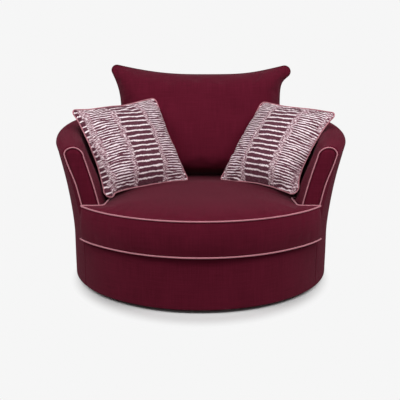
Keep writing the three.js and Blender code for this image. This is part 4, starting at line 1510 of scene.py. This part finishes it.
@dataclass(frozen=True)
class Stuffing:
    """How a cushion is filled: the air behind its cloth, the spare cloth, and how far it may swell."""

    pressure: float
    spare_cloth: float
    swell_limit: float
    bending: float = 0.4


class Upholsterer:
    """Blows loose cushions up as cloth that is sewn fast along its seams."""

    FRAMES = 20
    SEAM_GROUP = "seam"

    def __init__(self) -> None:
        """Starts with no cushion on the bench."""
        self.bench: list[tuple[bpy.types.Object, np.ndarray, Stuffing]] = []

    def lay(self, thing: bpy.types.Object, seam: Sequence[int], stuffing: Stuffing) -> None:
        """Puts a cushion on the bench, held along its seam points."""
        group = thing.vertex_groups.new(name=self.SEAM_GROUP)
        group.add(list(seam), 1.0, "REPLACE")
        self.bench.append((thing, places_of(thing), stuffing))

    def fill(self) -> None:
        """Fills every cushion on the bench, and keeps each point within its limit."""
        scene = bpy.context.scene
        scene.frame_start, scene.frame_end = 1, self.FRAMES
        for thing, _, stuffing in self.bench:
            cloth = thing.modifiers.new("filling", "CLOTH")
            settings = cloth.settings
            settings.quality = 6
            settings.mass = 0.3
            settings.tension_stiffness = settings.compression_stiffness = 22
            settings.shear_stiffness = 8
            settings.bending_stiffness = stuffing.bending
            settings.air_damping = 2.0
            settings.tension_damping = settings.compression_damping = 12
            settings.use_pressure = True
            settings.uniform_pressure_force = stuffing.pressure
            settings.shrink_min = -stuffing.spare_cloth
            settings.vertex_group_mass = self.SEAM_GROUP
            settings.pin_stiffness = 1.0
            settings.effector_weights.gravity = 0.0
            cloth.collision_settings.use_collision = False
            cloth.collision_settings.use_self_collision = False
            cloth.point_cache.frame_start, cloth.point_cache.frame_end = 1, self.FRAMES
        for number in range(1, self.FRAMES + 1):
            scene.frame_set(number)
        for thing, before, stuffing in self.bench:
            baked(thing)
            after = places_of(thing)
            move = after - before
            length = np.linalg.norm(move, axis=1, keepdims=True)
            limit = stuffing.swell_limit
            held = np.where(length > 0, limit * np.tanh(length / limit) / np.maximum(length, 1e-9), 0.0)
            move_to(thing, before + move * held)
            log.info("%s swells by up to %.1f mm", thing.name, 1000 * float((length * held).max()))
        scene.frame_set(1)
        self.bench.clear()


def smoothed(thing: bpy.types.Object, seams: Sequence[Sequence[int]]) -> bpy.types.Object:
    """Subdivides a filled cushion once, and keeps its seams where they are sewn.

    Args:
        thing: the cushion.
        seams: loops of point numbers.

    Returns:
        The cushion.
    """
    sewn = {frozenset(pair) for seam in seams for pair in zip(seam, [*seam[1:], seam[0]])}
    crease = thing.data.attributes.new("crease_edge", "FLOAT", "EDGE")
    for edge in thing.data.edges:
        if frozenset(edge.vertices) in sewn:
            crease.data[edge.index].value = 1.0
    smoother = thing.modifiers.new("smooth", "SUBSURF")
    smoother.levels = smoother.render_levels = 1
    return baked(thing)


def neighbours_of(thing: bpy.types.Object) -> list[list[int]]:
    """Returns each point's neighbours along the mesh's edges."""
    near: list[list[int]] = [[] for _ in thing.data.vertices]
    for edge in thing.data.edges:
        a, b = edge.vertices
        near[a].append(b)
        near[b].append(a)
    return near


def softened(places: np.ndarray, near: Sequence[Sequence[int]], chosen: np.ndarray, rounds: int) -> np.ndarray:
    """Evens out chosen points among their neighbours.

    Args:
        places: the points.
        near: each point's neighbours.
        chosen: which points may move.
        rounds: how often.

    Returns:
        The points after it.
    """
    starts = np.array([a for a, others in enumerate(near) for _ in others])
    ends = np.array([b for others in near for b in others])
    counts = np.maximum(np.bincount(starts, minlength=len(places)), 1)[:, None]
    for _ in range(rounds):
        total = np.zeros_like(places)
        np.add.at(total, starts, places[ends])
        places = np.where(chosen[:, None], places * 0.5 + total / counts * 0.5, places)
    return places


@dataclass
class Surroundings:
    """What a loose cushion leans on: the tub's inside, and the cushions under or behind it."""

    wall: WallForm
    clearance: float = 0.0012

    def out_of_wall(self, place: np.ndarray) -> np.ndarray:
        """Returns a place, brought inside the tub where it lay in the wall."""
        x, y, z = place
        radius = math.hypot(x, y)
        if radius < 0.3 or y < -self.wall.arm_front:
            return place
        angle = math.atan2(x, -y) % FULL_TURN
        if z >= self.wall.rim_height(angle):
            return place
        limit = self.wall.inner_radius(angle, z) - self.clearance
        if radius <= limit:
            return place
        if z > self.wall.roll_height(angle) and radius > limit + self.wall.roll_radius:
            return place
        return np.array((x * limit / radius, y * limit / radius, z))

    def out_of(self, place: np.ndarray, tree: BVHTree, way: Vector) -> np.ndarray:
        """Returns a place, brought out of a closed body along a direction where it lay in it."""
        start = Vector(place)
        hit, normal, _, distance = tree.ray_cast(start, way, 0.4)
        if hit is None or normal.dot(way) <= 0:
            return place
        return np.array(start + way * (distance + self.clearance))


def tree_of(thing: bpy.types.Object) -> BVHTree:
    """Returns a search tree of a mesh object."""
    return BVHTree.FromPolygons(
        [v.co for v in thing.data.vertices], [tuple(p.vertices) for p in thing.data.polygons]
    )


@dataclass
class SeatCushion:
    """The deep seat cushion with its border between two rows of piping."""

    workshop: Workshop
    wall: WallForm
    upholsterer: Upholsterer
    lower_seam: float = 0.2316
    upper_seam: float = 0.372
    crown: float = 0.024
    crown_run: float = 0.26
    crown_power: float = 2.6
    hollow: float = 0.015
    hollow_run: Pair = (0.0, 0.22)
    belly: float = 0.0049
    border_swell: float = 0.007
    pipe_radius: float = 0.0032
    body_grown: float = 0.0030
    cord_grown: float = 0.0053
    low_ear_reach: float = 0.007
    lattice: float = 0.017
    border_rows: int = 9
    body: str = "seat"
    seams: list[list[int]] = field(default_factory=list)

    def plan(self, height: float) -> SeatPlan:
        """Returns the outline's plan at a height. The ears reach out further at the lower seam."""
        if height == self.lower_seam:
            return SeatPlan(self.wall, ear_reach=self.low_ear_reach)
        return SeatPlan(self.wall)

    def panel(self, outline: Sequence[Vector]) -> tuple[list[Vector], list[tuple[int, ...]]]:
        """Fills an outline with an even net of triangles.

        Args:
            outline: the points round the panel.

        Returns:
            The flat points, which start with the outline's own, and the triangles.
        """
        rim = np.array([(p.x, p.y) for p in outline])
        low, high = rim.min(axis=0), rim.max(axis=0)
        pitch = self.lattice
        inner = []
        rows = int((high[1] - low[1]) / (pitch * 0.866)) + 1
        for j in range(rows + 1):
            y = low[1] + j * pitch * 0.866
            for i in range(int((high[0] - low[0]) / pitch) + 2):
                x = low[0] + (i + (j % 2) / 2) * pitch
                inner.append((x, y))
        inner = np.array(inner)
        keep = self.inside(inner, rim) & (self.from_rim(inner, rim) > pitch * 0.55)
        points = [Vector(p) for p in rim] + [Vector(p) for p in inner[keep]]
        count = len(rim)
        edges = [(i, (i + 1) % count) for i in range(count)]
        flat, _, faces, origins, _, _ = delaunay_2d_cdt(points, edges, [], 1, 1e-6)
        order = {}
        for index, sources in enumerate(origins):
            for source in sources:
                order[index] = source
        found = [None] * len(points)
        for index, place in enumerate(flat):
            found[order[index]] = place
        return [Vector(p) for p in found], [tuple(order[i] for i in face) for face in faces]

    def inside(self, points: np.ndarray, rim: np.ndarray) -> np.ndarray:
        """Returns which points lie within the outline."""
        found = np.zeros(len(points), bool)
        x, y = points[:, 0], points[:, 1]
        for (x0, y0), (x1, y1) in zip(rim, np.roll(rim, -1, axis=0)):
            crosses = (y0 > y) != (y1 > y)
            if y1 != y0:
                found ^= crosses & (x < (x1 - x0) * (y - y0) / (y1 - y0) + x0)
        return found

    def from_rim(self, points: np.ndarray, rim: np.ndarray) -> np.ndarray:
        """Returns how far each point is from the outline."""
        best = np.full(len(points), 1e9)
        for a, b in zip(rim, np.roll(rim, -1, axis=0)):
            run = b - a
            share = np.clip(((points - a) @ run) / (run @ run), 0, 1)
            best = np.minimum(best, np.linalg.norm(points - a - share[:, None] * run, axis=1))
        return best

    def build_body(self) -> bpy.types.Object:
        """Makes the cushion's cloth: its top, its border and its underside, sewn at the two seams."""
        top_rim = self.plan(self.upper_seam).loop(self.upper_seam, self.body_grown)
        low_rim = self.plan(self.lower_seam).loop(self.lower_seam, self.body_grown)
        skin = Skin()
        count = len(top_rim)
        for rim, height, way in ((top_rim, self.upper_seam, 1), (low_rim, self.lower_seam, -1)):
            flat, triangles = self.panel(rim)
            away = self.from_rim(np.array([(p.x, p.y) for p in flat]), np.array([(p.x, p.y) for p in rim]))
            start = len(skin.points)
            for place, distance in zip(flat, away):
                share = clamped(distance / self.crown_run)
                rise = 1 - (1 - share) ** self.crown_power
                lift = self.crown * rise if way > 0 else -self.belly * clamped(distance / 0.02)
                if way > 0:
                    lift -= self.hollow * eased(place.y, *self.hollow_run) * (1 - eased(abs(place.x), 0.25, 0.45))
                    lift += 0.0012 * noise.noise(Vector((place.x * 7, place.y * 7, 0))) * clamped(distance / 0.05)
                skin.points.append(Vector((place.x, place.y, height + lift)))
            for triangle in triangles:
                corners = triangle if way > 0 else triangle[::-1]
                skin.face(tuple(start + c for c in corners), tuple((flat[c].x, flat[c].y) for c in corners))
        low_start = len(skin.points) - len(flat)
        self.add_border(skin, count, low_start)
        thing = skin.piece("seat_cushion_body", merge=1e-6)
        self.seams = [list(range(count)), list(range(low_start, low_start + count))]
        self.upholsterer.lay(thing, [*self.seams[0], *self.seams[1]], Stuffing(2.2, 0.012, 0.009))
        return thing

    def add_border(self, skin: Skin, count: int, low_start: int) -> None:
        """Adds the border's rows of faces between the two rims."""
        rows = [list(range(low_start, low_start + count))]
        lengths = [0.0]
        for i in range(count):
            lengths.append(lengths[-1] + (skin.points[(i + 1) % count] - skin.points[i]).length)
        for j in range(1, self.border_rows):
            share = j / self.border_rows
            row = []
            for i in range(count):
                low, high = skin.points[low_start + i], skin.points[i]
                run = skin.points[(i + 1) % count] - skin.points[(i - 1) % count]
                out = Vector((run.y, -run.x, 0)).normalized()
                swell = self.border_swell * math.sin(math.pi * share) ** 0.7
                if low.y > -self.wall.arm_front:
                    swell *= 0.35
                row.append(len(skin.points))
                skin.points.append(low.lerp(high, share) + out * swell)
            rows.append(row)
        rows.append(list(range(count)))
        rise = self.upper_seam - self.lower_seam
        for j in range(self.border_rows):
            v0, v1 = rise * j / self.border_rows, rise * (j + 1) / self.border_rows
            for i in range(count):
                k = (i + 1) % count
                skin.face(
                    (rows[j][i], rows[j][k], rows[j + 1][k], rows[j + 1][i]),
                    ((lengths[i], v0), (lengths[i + 1], v0), (lengths[i + 1], v1), (lengths[i], v1)),
                )

    def finish(self, thing: bpy.types.Object) -> bpy.types.Object:
        """Smooths the filled cushion, sets it on the platform and sews its piping on."""
        places = places_of(thing)
        places[:, 2] = np.maximum(places[:, 2], self.wall.deck_height + 0.0006)
        move_to(thing, places)
        smoothed(thing, self.seams)
        self.workshop.hand_over(thing, self.body, Finish.BURGUNDY, ["seat_cushion"], fill=0.85)
        for name, height in (("lower", self.lower_seam), ("upper", self.upper_seam)):
            loop = self.plan(height).loop(height, self.cord_grown)
            path = [Vector((p.x, p.y, height)) for p in loop]
            self.workshop.cord(f"seat_cord_{name}", path, self.pipe_radius, self.body, [f"seat_piping_{name}"])
        return thing


@dataclass(frozen=True)
class Ear:
    """One corner of a pillow: a round lobe, and the slants at which the two edges run into it.

    The end edge is the top or bottom one. A hold near 1 keeps an edge straight until it turns sharply out.
    """

    across: float
    up: float
    radius: float
    end_slant: float = 6.0
    side_slant: float = 6.0
    end_hold: float = 0.67
    side_hold: float = 0.67
    grip: float = 0.67

    def turned(self) -> "Ear":
        """Returns the same corner with its two edges swapped."""
        slants, holds = (self.side_slant, self.end_slant), (self.side_hold, self.end_hold)
        return Ear(self.up, self.across, self.radius, *slants, *holds, self.grip)

    def end_point(self, share: float, middle: float, grown: float) -> Pair:
        """Finds a point of the end edge.

        Args:
            share: how far along it, from its middle to the tip of the corner.
            middle: how far the edge's middle is from the pillow's.
            grown: how far outside the form to stay.

        Returns:
            The place across and up.
        """
        radius, slant = self.radius + grown, math.radians(self.end_slant)
        middle_x, middle_y = self.across - self.radius, self.up - self.radius
        lobe = radius * (math.pi / 4 + slant) / self.across
        if share > 1 - lobe:
            turn = blended(math.pi / 2 + slant, math.pi / 4, (share - 1 + lobe) / lobe)
            return middle_x + radius * math.cos(turn), middle_y + radius * math.sin(turn)
        start = Vector((0, middle + grown))
        way = Vector((math.cos(slant), math.sin(slant)))
        end = Vector((middle_x - radius * math.sin(slant), middle_y + radius * math.cos(slant)))
        rise = end.y - start.y
        run = rise / way.y if abs(way.y) > 1e-3 else 0.0
        if not 0 < run < end.x * 0.9:
            run = end.x / 2
        straight = Vector((self.end_hold * max(end.x - run * way.x, end.x * 0.3), 0))
        handle = end - way * run * self.grip
        t = share / (1 - lobe)
        place = start * (1 - t) ** 3 + (start + straight) * 3 * t * (1 - t) ** 2 + handle * 3 * t * t * (1 - t)
        place += end * t**3
        return place.x, place.y


@dataclass(frozen=True)
class PillowForm:
    """A knife-edged pillow: its four corners, how far its edges are from its middle, and how full it is.

    The corners go low left, low right, top left, top right, and the edges bottom, top, left, right.
    """

    ears: tuple[Ear, Ear, Ear, Ear]
    edges: tuple[float, float, float, float]
    thickness: float
    fullness: float
    foot_fullness: float | None = None
    ear_flatness: float = 0.30
    ripple: float = 0.0
    steps: int = 56

    def end_place(self, u: float, top: bool, grown: float) -> Vector:
        """Returns a place on the top or bottom edge, at a share across from -1 to 1."""
        ear = self.ears[(2 if top else 0) + (1 if u > 0 else 0)]
        x, y = ear.end_point(abs(u), self.edges[1 if top else 0], grown)
        return Vector((math.copysign(x, u), y if top else -y))

    def side_place(self, v: float, right: bool, grown: float) -> Vector:
        """Returns a place on the left or right edge, at a share up from -1 to 1."""
        ear = self.ears[(2 if v > 0 else 0) + (1 if right else 0)]
        y, x = ear.turned().end_point(abs(v), self.edges[3 if right else 2], grown)
        return Vector((x if right else -x, math.copysign(y, v)))

    def outline_point(self, u: float, v: float, grown: float = 0.0) -> Pair:
        """Returns the place of a share across and up, each from -1 to 1, in the pillow's own plane."""
        across, up = (u + 1) / 2, (v + 1) / 2
        low, high = self.end_place(u, False, grown), self.end_place(u, True, grown)
        left, right = self.side_place(v, False, grown), self.side_place(v, True, grown)
        corners = [self.end_place(a, b, grown) for b in (False, True) for a in (-1.0, 1.0)]
        place = low.lerp(high, up) + left.lerp(right, across)
        place -= corners[0].lerp(corners[1], across).lerp(corners[2].lerp(corners[3], across), up)
        place *= 1 + self.ripple * noise.noise(Vector((place.x * 13, place.y * 13, 7.3)))
        return place.x, place.y

    def bulk(self, u: float, v: float) -> float:
        """Returns the share of the full thickness at a share across and up."""
        power = self.fullness + self.ear_flatness * abs(u * v) ** 4
        foot = self.fullness if self.foot_fullness is None else self.foot_fullness
        low_power = power + (foot - self.fullness) * eased(-v, 0.1, 0.9)
        return max(1 - u * u, 0.0) ** power * max(1 - v * v, 0.0) ** low_power

    def share(self, index: int) -> float:
        """Returns a grid line's share across, with the lines closer together towards the edges."""
        even = 2 * index / self.steps - 1
        return blended(even, math.sin(math.pi / 2 * even), 0.5)

    def seam_shares(self) -> list[Pair]:
        """Returns the shares of the grid's points round the seam, once round."""
        line = [self.share(i) for i in range(self.steps)]
        return [
            *[(s, -1.0) for s in line],
            *[(1.0, s) for s in line],
            *[(-s, 1.0) for s in line],
            *[(-1.0, -s) for s in line],
        ]


@dataclass(frozen=True)
class Place:
    """Where a pillow's middle is, how far it is turned about the upright and how far it leans back."""

    at: tuple[float, float, float]
    yaw: float
    lean: float

    def matrix(self) -> Matrix:
        """Returns the pose as a matrix."""
        turn = Matrix.Rotation(math.radians(self.yaw), 4, "Z")
        stand = Matrix.Rotation(math.radians(90 - self.lean), 4, "X")
        return Matrix.Translation(self.at) @ turn @ stand


@dataclass
class Pillow:
    """A loose pillow with a cord sewn into its seam."""

    workshop: Workshop
    wall: WallForm
    upholsterer: Upholsterer
    name: str
    node: str
    body: str
    form: PillowForm
    place: Place
    stuffing: Stuffing
    finish_kind: Finish
    cord_finish: Finish
    cord_radius: float
    cord_nodes: tuple[str, ...] = ()
    cord_name: str = ""
    fill: float = 0.7
    body_grown: float = 0.0012
    cord_grown: float = 0.0022
    thing: bpy.types.Object | None = None
    seam: list[int] = field(default_factory=list)
    rest: list[Vector] = field(default_factory=list)

    def build_body(self) -> bpy.types.Object:
        """Makes the two faces, sewn together round the seam, and lays them out to be filled."""
        form, pose = self.form, self.place.matrix()
        skin = Skin()
        index: dict[tuple[int, int, int], int] = {}
        flat: list[Pair] = []
        steps = form.steps
        for face in (1, -1):
            for j in range(steps + 1):
                for i in range(steps + 1):
                    on_seam = i in (0, steps) or j in (0, steps)
                    if on_seam and face < 0:
                        index[face, i, j] = index[1, i, j]
                        continue
                    u, v = form.share(i), form.share(j)
                    x, y = form.outline_point(u, v, self.body_grown)
                    bulk = 0.0 if on_seam else form.bulk(u, v)
                    index[face, i, j] = len(skin.points)
                    skin.points.append(pose @ Vector((x, y, face * form.thickness / 2 * bulk)))
                    flat.append((x, y))
        for face in (1, -1):
            for j in range(steps):
                for i in range(steps):
                    corners = [index[face, i, j], index[face, i + 1, j], index[face, i + 1, j + 1], index[face, i, j + 1]]
                    if face < 0:
                        corners.reverse()
                    skin.face(tuple(corners), tuple(flat[c] for c in corners))
        self.thing = skin.piece(self.name, merge=1e-7)
        ring = [(i, 0) for i in range(steps)] + [(steps, j) for j in range(steps)]
        ring += [(steps - i, steps) for i in range(steps)] + [(0, steps - j) for j in range(steps)]
        self.seam = [index[1, i, j] for i, j in ring]
        self.rest = [Vector(skin.points[s]) for s in self.seam]
        self.upholsterer.lay(self.thing, self.seam, self.stuffing)
        return self.thing

    def press(self, others: Sequence[tuple[bpy.types.Object, Vector]]) -> None:
        """Shapes the filled pillow to what it leans on.

        Args:
            others: the bodies that it rests against, each with the way out of it.
        """
        around = Surroundings(self.wall)
        trees = [(tree_of(other), way) for other, way in others]
        near = neighbours_of(self.thing)
        places = places_of(self.thing)
        for _ in range(3):
            pressed = self.pushed_out(places, around, trees)
            moved = np.linalg.norm(pressed - places, axis=1) > 1e-5
            chosen = moved.copy()
            for index in np.flatnonzero(moved):
                chosen[near[index]] = True
            chosen[self.seam] = False
            places = softened(pressed, near, chosen, 3)
        places = self.pushed_out(places, around, trees)
        move_to(self.thing, places)

    def pushed_out(
        self, places: np.ndarray, around: Surroundings, trees: Sequence[tuple[BVHTree, Vector]]
    ) -> np.ndarray:
        """Returns the points, each brought out of the wall and the other bodies."""
        found = np.empty_like(places)
        for index, place in enumerate(places):
            for tree, way in trees:
                place = around.out_of(place, tree, way)
            found[index] = around.out_of_wall(place)
        return found

    def finish(self) -> bpy.types.Object:
        """Sews the cord round the seam, smooths the pillow and hands both over."""
        places = places_of(self.thing)
        pose = self.place.matrix()
        path = []
        for (u, v), index, rest in zip(self.form.seam_shares(), self.seam, self.rest):
            x, y = self.form.outline_point(u, v, self.body_grown + self.cord_grown)
            path.append(pose @ Vector((x, y, 0)) + Vector(places[index]) - rest)
        smoothed(self.thing, [self.seam])
        self.workshop.hand_over(self.thing, self.body, self.finish_kind, [self.node], fill=self.fill)
        self.workshop.cord(
            self.cord_name or f"{self.name}_cord",
            path,
            self.cord_radius,
            self.body,
            self.cord_nodes,
            finish=self.cord_finish,
        )
        return self.thing


@dataclass
class LooseCushions:
    """The seat cushion, the back cushion and the two scatter cushions."""

    workshop: Workshop
    wall: WallForm
    back_form: PillowForm = PillowForm(
        ears=(
            Ear(0.440, 0.260, 0.022),
            Ear(0.440, 0.260, 0.022),
            Ear(0.455, 0.305, 0.024, 13, 26, side_hold=0.85, grip=0.85),
            Ear(0.460, 0.301, 0.028, 14, 50, end_hold=0.85, side_hold=1.0, grip=1.0),
        ),
        edges=(0.256, 0.255, 0.402, 0.402),
        thickness=0.282,
        fullness=0.38,
        foot_fullness=0.16,
        steps=64,
    )
    left_form: PillowForm = PillowForm(
        ears=(
            Ear(0.254, 0.225, 0.022, 45, 16, end_hold=1.0),
            Ear(0.238, 0.215, 0.020, 5, 2),
            Ear(0.248, 0.197, 0.016, 4, 20),
            Ear(0.260, 0.236, 0.016, 8, 6),
        ),
        edges=(0.200, 0.204, 0.230, 0.238),
        thickness=0.130,
        fullness=0.48,
        ripple=0.012,
    )
    right_form: PillowForm = PillowForm(
        ears=(
            Ear(0.243, 0.218, 0.016, 6, 4),
            Ear(0.232, 0.213, 0.024, 10, 30, side_hold=1.0),
            Ear(0.248, 0.232, 0.018, 4, 3),
            Ear(0.229, 0.200, 0.017, -4, 28),
        ),
        edges=(0.196, 0.212, 0.238, 0.197),
        thickness=0.130,
        fullness=0.48,
        ripple=0.012,
    )

    def scatter(self, side: str, upholsterer: Upholsterer) -> Pillow:
        """Returns one scatter cushion, not yet built."""
        left = side == "left"
        place = Place((-0.312, 0.025, 0.577), 46, 33) if left else Place((0.353, 0.032, 0.570), -50, 37)
        return Pillow(
            workshop=self.workshop,
            wall=self.wall,
            upholsterer=upholsterer,
            name=f"scatter_pillow_{side}",
            node=f"scatter_cushion_{side}",
            body=f"{side}_scatter",
            form=self.left_form if left else self.right_form,
            place=place,
            stuffing=Stuffing(3.0, 0.03, 0.014),
            finish_kind=Finish.STRIPE_LEFT if left else Finish.STRIPE_RIGHT,
            cord_finish=Finish.ROSE,
            cord_radius=0.0027,
            cord_nodes=(f"scatter_piping_{side}",),
            cord_name=f"scatter_cord_{side}",
            fill=0.7,
        )

    def back(self, upholsterer: Upholsterer) -> Pillow:
        """Returns the back cushion, not yet built."""
        return Pillow(
            workshop=self.workshop,
            wall=self.wall,
            upholsterer=upholsterer,
            name="back_pillow",
            node="back_cushion",
            body="back",
            form=self.back_form,
            place=Place((0, 0.361, 0.642), 0, 15),
            stuffing=Stuffing(3.0, 0.025, 0.014),
            finish_kind=Finish.BURGUNDY,
            cord_finish=Finish.BURGUNDY,
            cord_radius=0.0022,
            cord_name="back_pillow_seam",
            cord_grown=0.0008,
            fill=0.65,
        )

    def build(self) -> None:
        """Makes, fills and places all four cushions."""
        upholsterer = Upholsterer()
        seat = SeatCushion(self.workshop, self.wall, upholsterer)
        seat_body = seat.build_body()
        back = self.back(upholsterer)
        scatters = [self.scatter(side, upholsterer) for side in ("left", "right")]
        for pillow in (back, *scatters):
            pillow.build_body()
        upholsterer.fill()
        seat.finish(seat_body)
        back.press([(seat_body, UP)])
        back.finish()
        for pillow in scatters:
            pillow.press([(seat_body, UP), (back.thing, FORWARD)])
            pillow.finish()


# The frame's own pieces


@dataclass
class PlainParts:
    """The boards, rings, posts, springs and bearing parts that the frame already shapes."""

    workshop: Workshop
    finishes: dict[str, Finish] = field(
        default_factory=lambda: {
            "floor_board": Finish.BLACK_BOARD,
            "glide": Finish.BLACK_PLASTIC,
            "lower_swivel_plate": Finish.ZINC,
            "upper_swivel_plate": Finish.ZINC,
            "pivot": Finish.ZINC,
            "ball_cage": Finish.ZINC,
            "seat_spring": Finish.ZINC,
            "mount_rail": Finish.PLYWOOD,
            "drum_bottom_ring": Finish.PLYWOOD,
            "drum_top_ring": Finish.PLYWOOD,
            "drum_post": Finish.PLYWOOD,
            "drum_skin": Finish.HARDBOARD,
            "tub_base_rail": Finish.PLYWOOD,
            "tub_top_rail": Finish.PLYWOOD,
            "tub_rib": Finish.PLYWOOD,
            "arm_board": Finish.PLYWOOD,
            "tub_outer_board": Finish.HARDBOARD,
        }
    )

    def build(self) -> None:
        """Gives every shown node of the frame its finish."""
        for name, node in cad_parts.items():
            if node.hide_render:
                continue
            finish = next((f for start, f in self.finishes.items() if name.startswith(start)), None)
            if finish is None:
                log.warning("%s has no finish", name)
                continue
            node.data.materials.clear()
            node.data.materials.append(self.workshop.shelf.material(finish))
            log.info("%s: %s", name, finish.slot)


# The studio


@dataclass(frozen=True)
class Lamp:
    """A soft square lamp, aimed at the chair."""

    name: str
    place: tuple[float, float, float]
    size: float
    watts: float
    colour: tuple[float, float, float] = (1.0, 1.0, 1.0)


@dataclass(frozen=True)
class Studio:
    """The camera, the lamps and the pale floor."""

    camera_place: tuple[float, float, float] = (-0.003, -2.779, 0.939)
    camera_pitch: float = 77.51
    lens: float = 54.9
    sensor: float = 36.0
    aim: tuple[float, float, float] = (0.0, 0.0, 0.45)
    paper: Colour = screen_colour(246, 246, 246)
    floor_half: float = 12.0
    # The floor's colour near the chair is darker than the paper: painted contact shadow, over the real shadow that the
    # lamps cast there. It fades to the paper between the two reaches below.
    painted_shadow_floor: Colour = screen_colour(202, 202, 202)
    near_reach: float = 0.585
    far_reach: float = 0.68
    side_squeeze: float = 1.13
    forward_shift: float = 0.03
    bounce: Colour = (0.35, 0.35, 0.35, 1.0)
    world_strength: float = 0.12
    lamps: tuple[Lamp, ...] = (
        Lamp("front", (0.0, -3.0, 4.1), 1.6, 94.0),
        Lamp("left", (-2.7, -1.5, 2.7), 1.5, 72.0),
        Lamp("right", (2.7, -1.5, 2.7), 1.5, 82.0),
        Lamp("fill", (0.0, -3.8, 1.4), 2.2, 12.0),
    )

    def camera(self) -> bpy.types.Object:
        """Puts the camera where the photograph was taken from."""
        data = bpy.data.cameras.new("camera")
        data.lens = self.lens
        data.sensor_width = self.sensor
        data.clip_start, data.clip_end = 0.05, 60.0
        thing = bpy.data.objects.new("camera", data)
        thing.location = self.camera_place
        thing.rotation_euler = (math.radians(self.camera_pitch), 0, 0)
        bpy.context.scene.collection.objects.link(thing)
        bpy.context.scene.camera = thing
        return thing

    def floor(self) -> bpy.types.Object:
        """Lays the floor, which fades into the background away from the chair."""
        mesh = bpy.data.meshes.new("floor")
        half = self.floor_half
        corners = [(-half, -half, 0), (half, -half, 0), (half, half, 0), (-half, half, 0)]
        mesh.from_pydata(corners, [], [(0, 1, 2, 3)])
        thing = bpy.data.objects.new("floor", mesh)
        bpy.context.scene.collection.objects.link(thing)
        mesh.materials.append(self.floor_material())
        return thing

    def floor_material(self) -> bpy.types.Material:
        """Returns the floor's material: matt and darker grey than the paper near the chair, the grey a painted contact
        shadow over the real shadows that the lamps cast there, and plain background beyond.

        It throws less light back up than it shows, so that the chair's underside keeps its shade.
        """
        sheet = ShaderSheet("studio_floor")
        nodes, links = sheet.nodes, sheet.links
        seen = self.seen(nodes, links)
        # The near floor's grey is painted contact shadow.
        colour = sheet.mixed(seen, self.bounce, self.painted_shadow_floor)
        sheet.surface(Base_Color=colour, Roughness=0.9, Specular_IOR_Level=0.0)
        x, y, _ = sheet.parts(sheet.place())
        x = sheet.math("MULTIPLY", x, self.side_squeeze)
        y = sheet.math("ADD", y, self.forward_shift)
        away = sheet.math("SQRT", sheet.math("ADD", sheet.math("MULTIPLY", x, x), sheet.math("MULTIPLY", y, y)))
        far = sheet.spread(away, self.near_reach, self.far_reach)
        glow = nodes.new("ShaderNodeEmission")
        glow.inputs["Color"].default_value = self.paper
        mix = nodes.new("ShaderNodeMixShader")
        links.new(sheet.math("MULTIPLY", far, seen), mix.inputs[0])
        links.new(sheet.shader.outputs[0], mix.inputs[1])
        links.new(glow.outputs[0], mix.inputs[2])
        output = next(n for n in nodes if n.type == "OUTPUT_MATERIAL")
        links.new(mix.outputs[0], output.inputs["Surface"])
        return sheet.material

    def seen(self, nodes: bpy.types.Nodes, links: bpy.types.NodeLinks) -> bpy.types.NodeSocket:
        """Returns 1 for what the camera sees, straight, in gloss or through glass, and 0 for plain light."""
        path = nodes.new("ShaderNodeLightPath")
        found = path.outputs["Is Camera Ray"]
        for other in ("Is Glossy Ray", "Is Transmission Ray"):
            either = nodes.new("ShaderNodeMath")
            either.operation = "MAXIMUM"
            links.new(found, either.inputs[0])
            links.new(path.outputs[other], either.inputs[1])
            found = either.outputs[0]
        return found

    def world(self) -> bpy.types.World:
        """Makes the background: paper white to the camera and in gloss, and a plain level of light."""
        world = bpy.data.worlds.new("studio")
        world.use_nodes = True
        nodes, links = world.node_tree.nodes, world.node_tree.links
        nodes.clear()
        paper = nodes.new("ShaderNodeBackground")
        paper.inputs["Color"].default_value = self.paper
        light = nodes.new("ShaderNodeBackground")
        light.inputs["Color"].default_value = (1, 1, 1, 1)
        light.inputs["Strength"].default_value = self.world_strength
        mix = nodes.new("ShaderNodeMixShader")
        links.new(self.seen(nodes, links), mix.inputs[0])
        links.new(light.outputs[0], mix.inputs[1])
        links.new(paper.outputs[0], mix.inputs[2])
        output = nodes.new("ShaderNodeOutputWorld")
        links.new(mix.outputs[0], output.inputs["Surface"])
        bpy.context.scene.world = world
        return world

    def hang(self, lamp: Lamp) -> bpy.types.Object:
        """Hangs one lamp, facing the chair."""
        data = bpy.data.lights.new(lamp.name, "AREA")
        data.shape = "SQUARE"
        data.size = lamp.size
        data.energy = lamp.watts
        data.color = lamp.colour
        thing = bpy.data.objects.new(lamp.name, data)
        thing.location = lamp.place
        way = Vector(self.aim) - Vector(lamp.place)
        thing.rotation_euler = way.to_track_quat("-Z", "Y").to_euler()
        bpy.context.scene.collection.objects.link(thing)
        return thing

    def build(self) -> None:
        """Sets up the whole studio."""
        self.camera()
        self.world()
        self.floor()
        for lamp in self.lamps:
            self.hang(lamp)
        bpy.context.scene.view_settings.view_transform = "Standard"


def main() -> None:
    """Builds the studio and the chair."""
    Studio().build()
    workshop = Workshop(FinishShelf())
    wall = WallForm()
    Tub(workshop, wall).build()
    Drum(workshop, wall).build()
    Platform(workshop, wall).build()
    LooseCushions(workshop, wall).build()
    PlainParts(workshop).build()


if __name__ == "__main__":
    main()
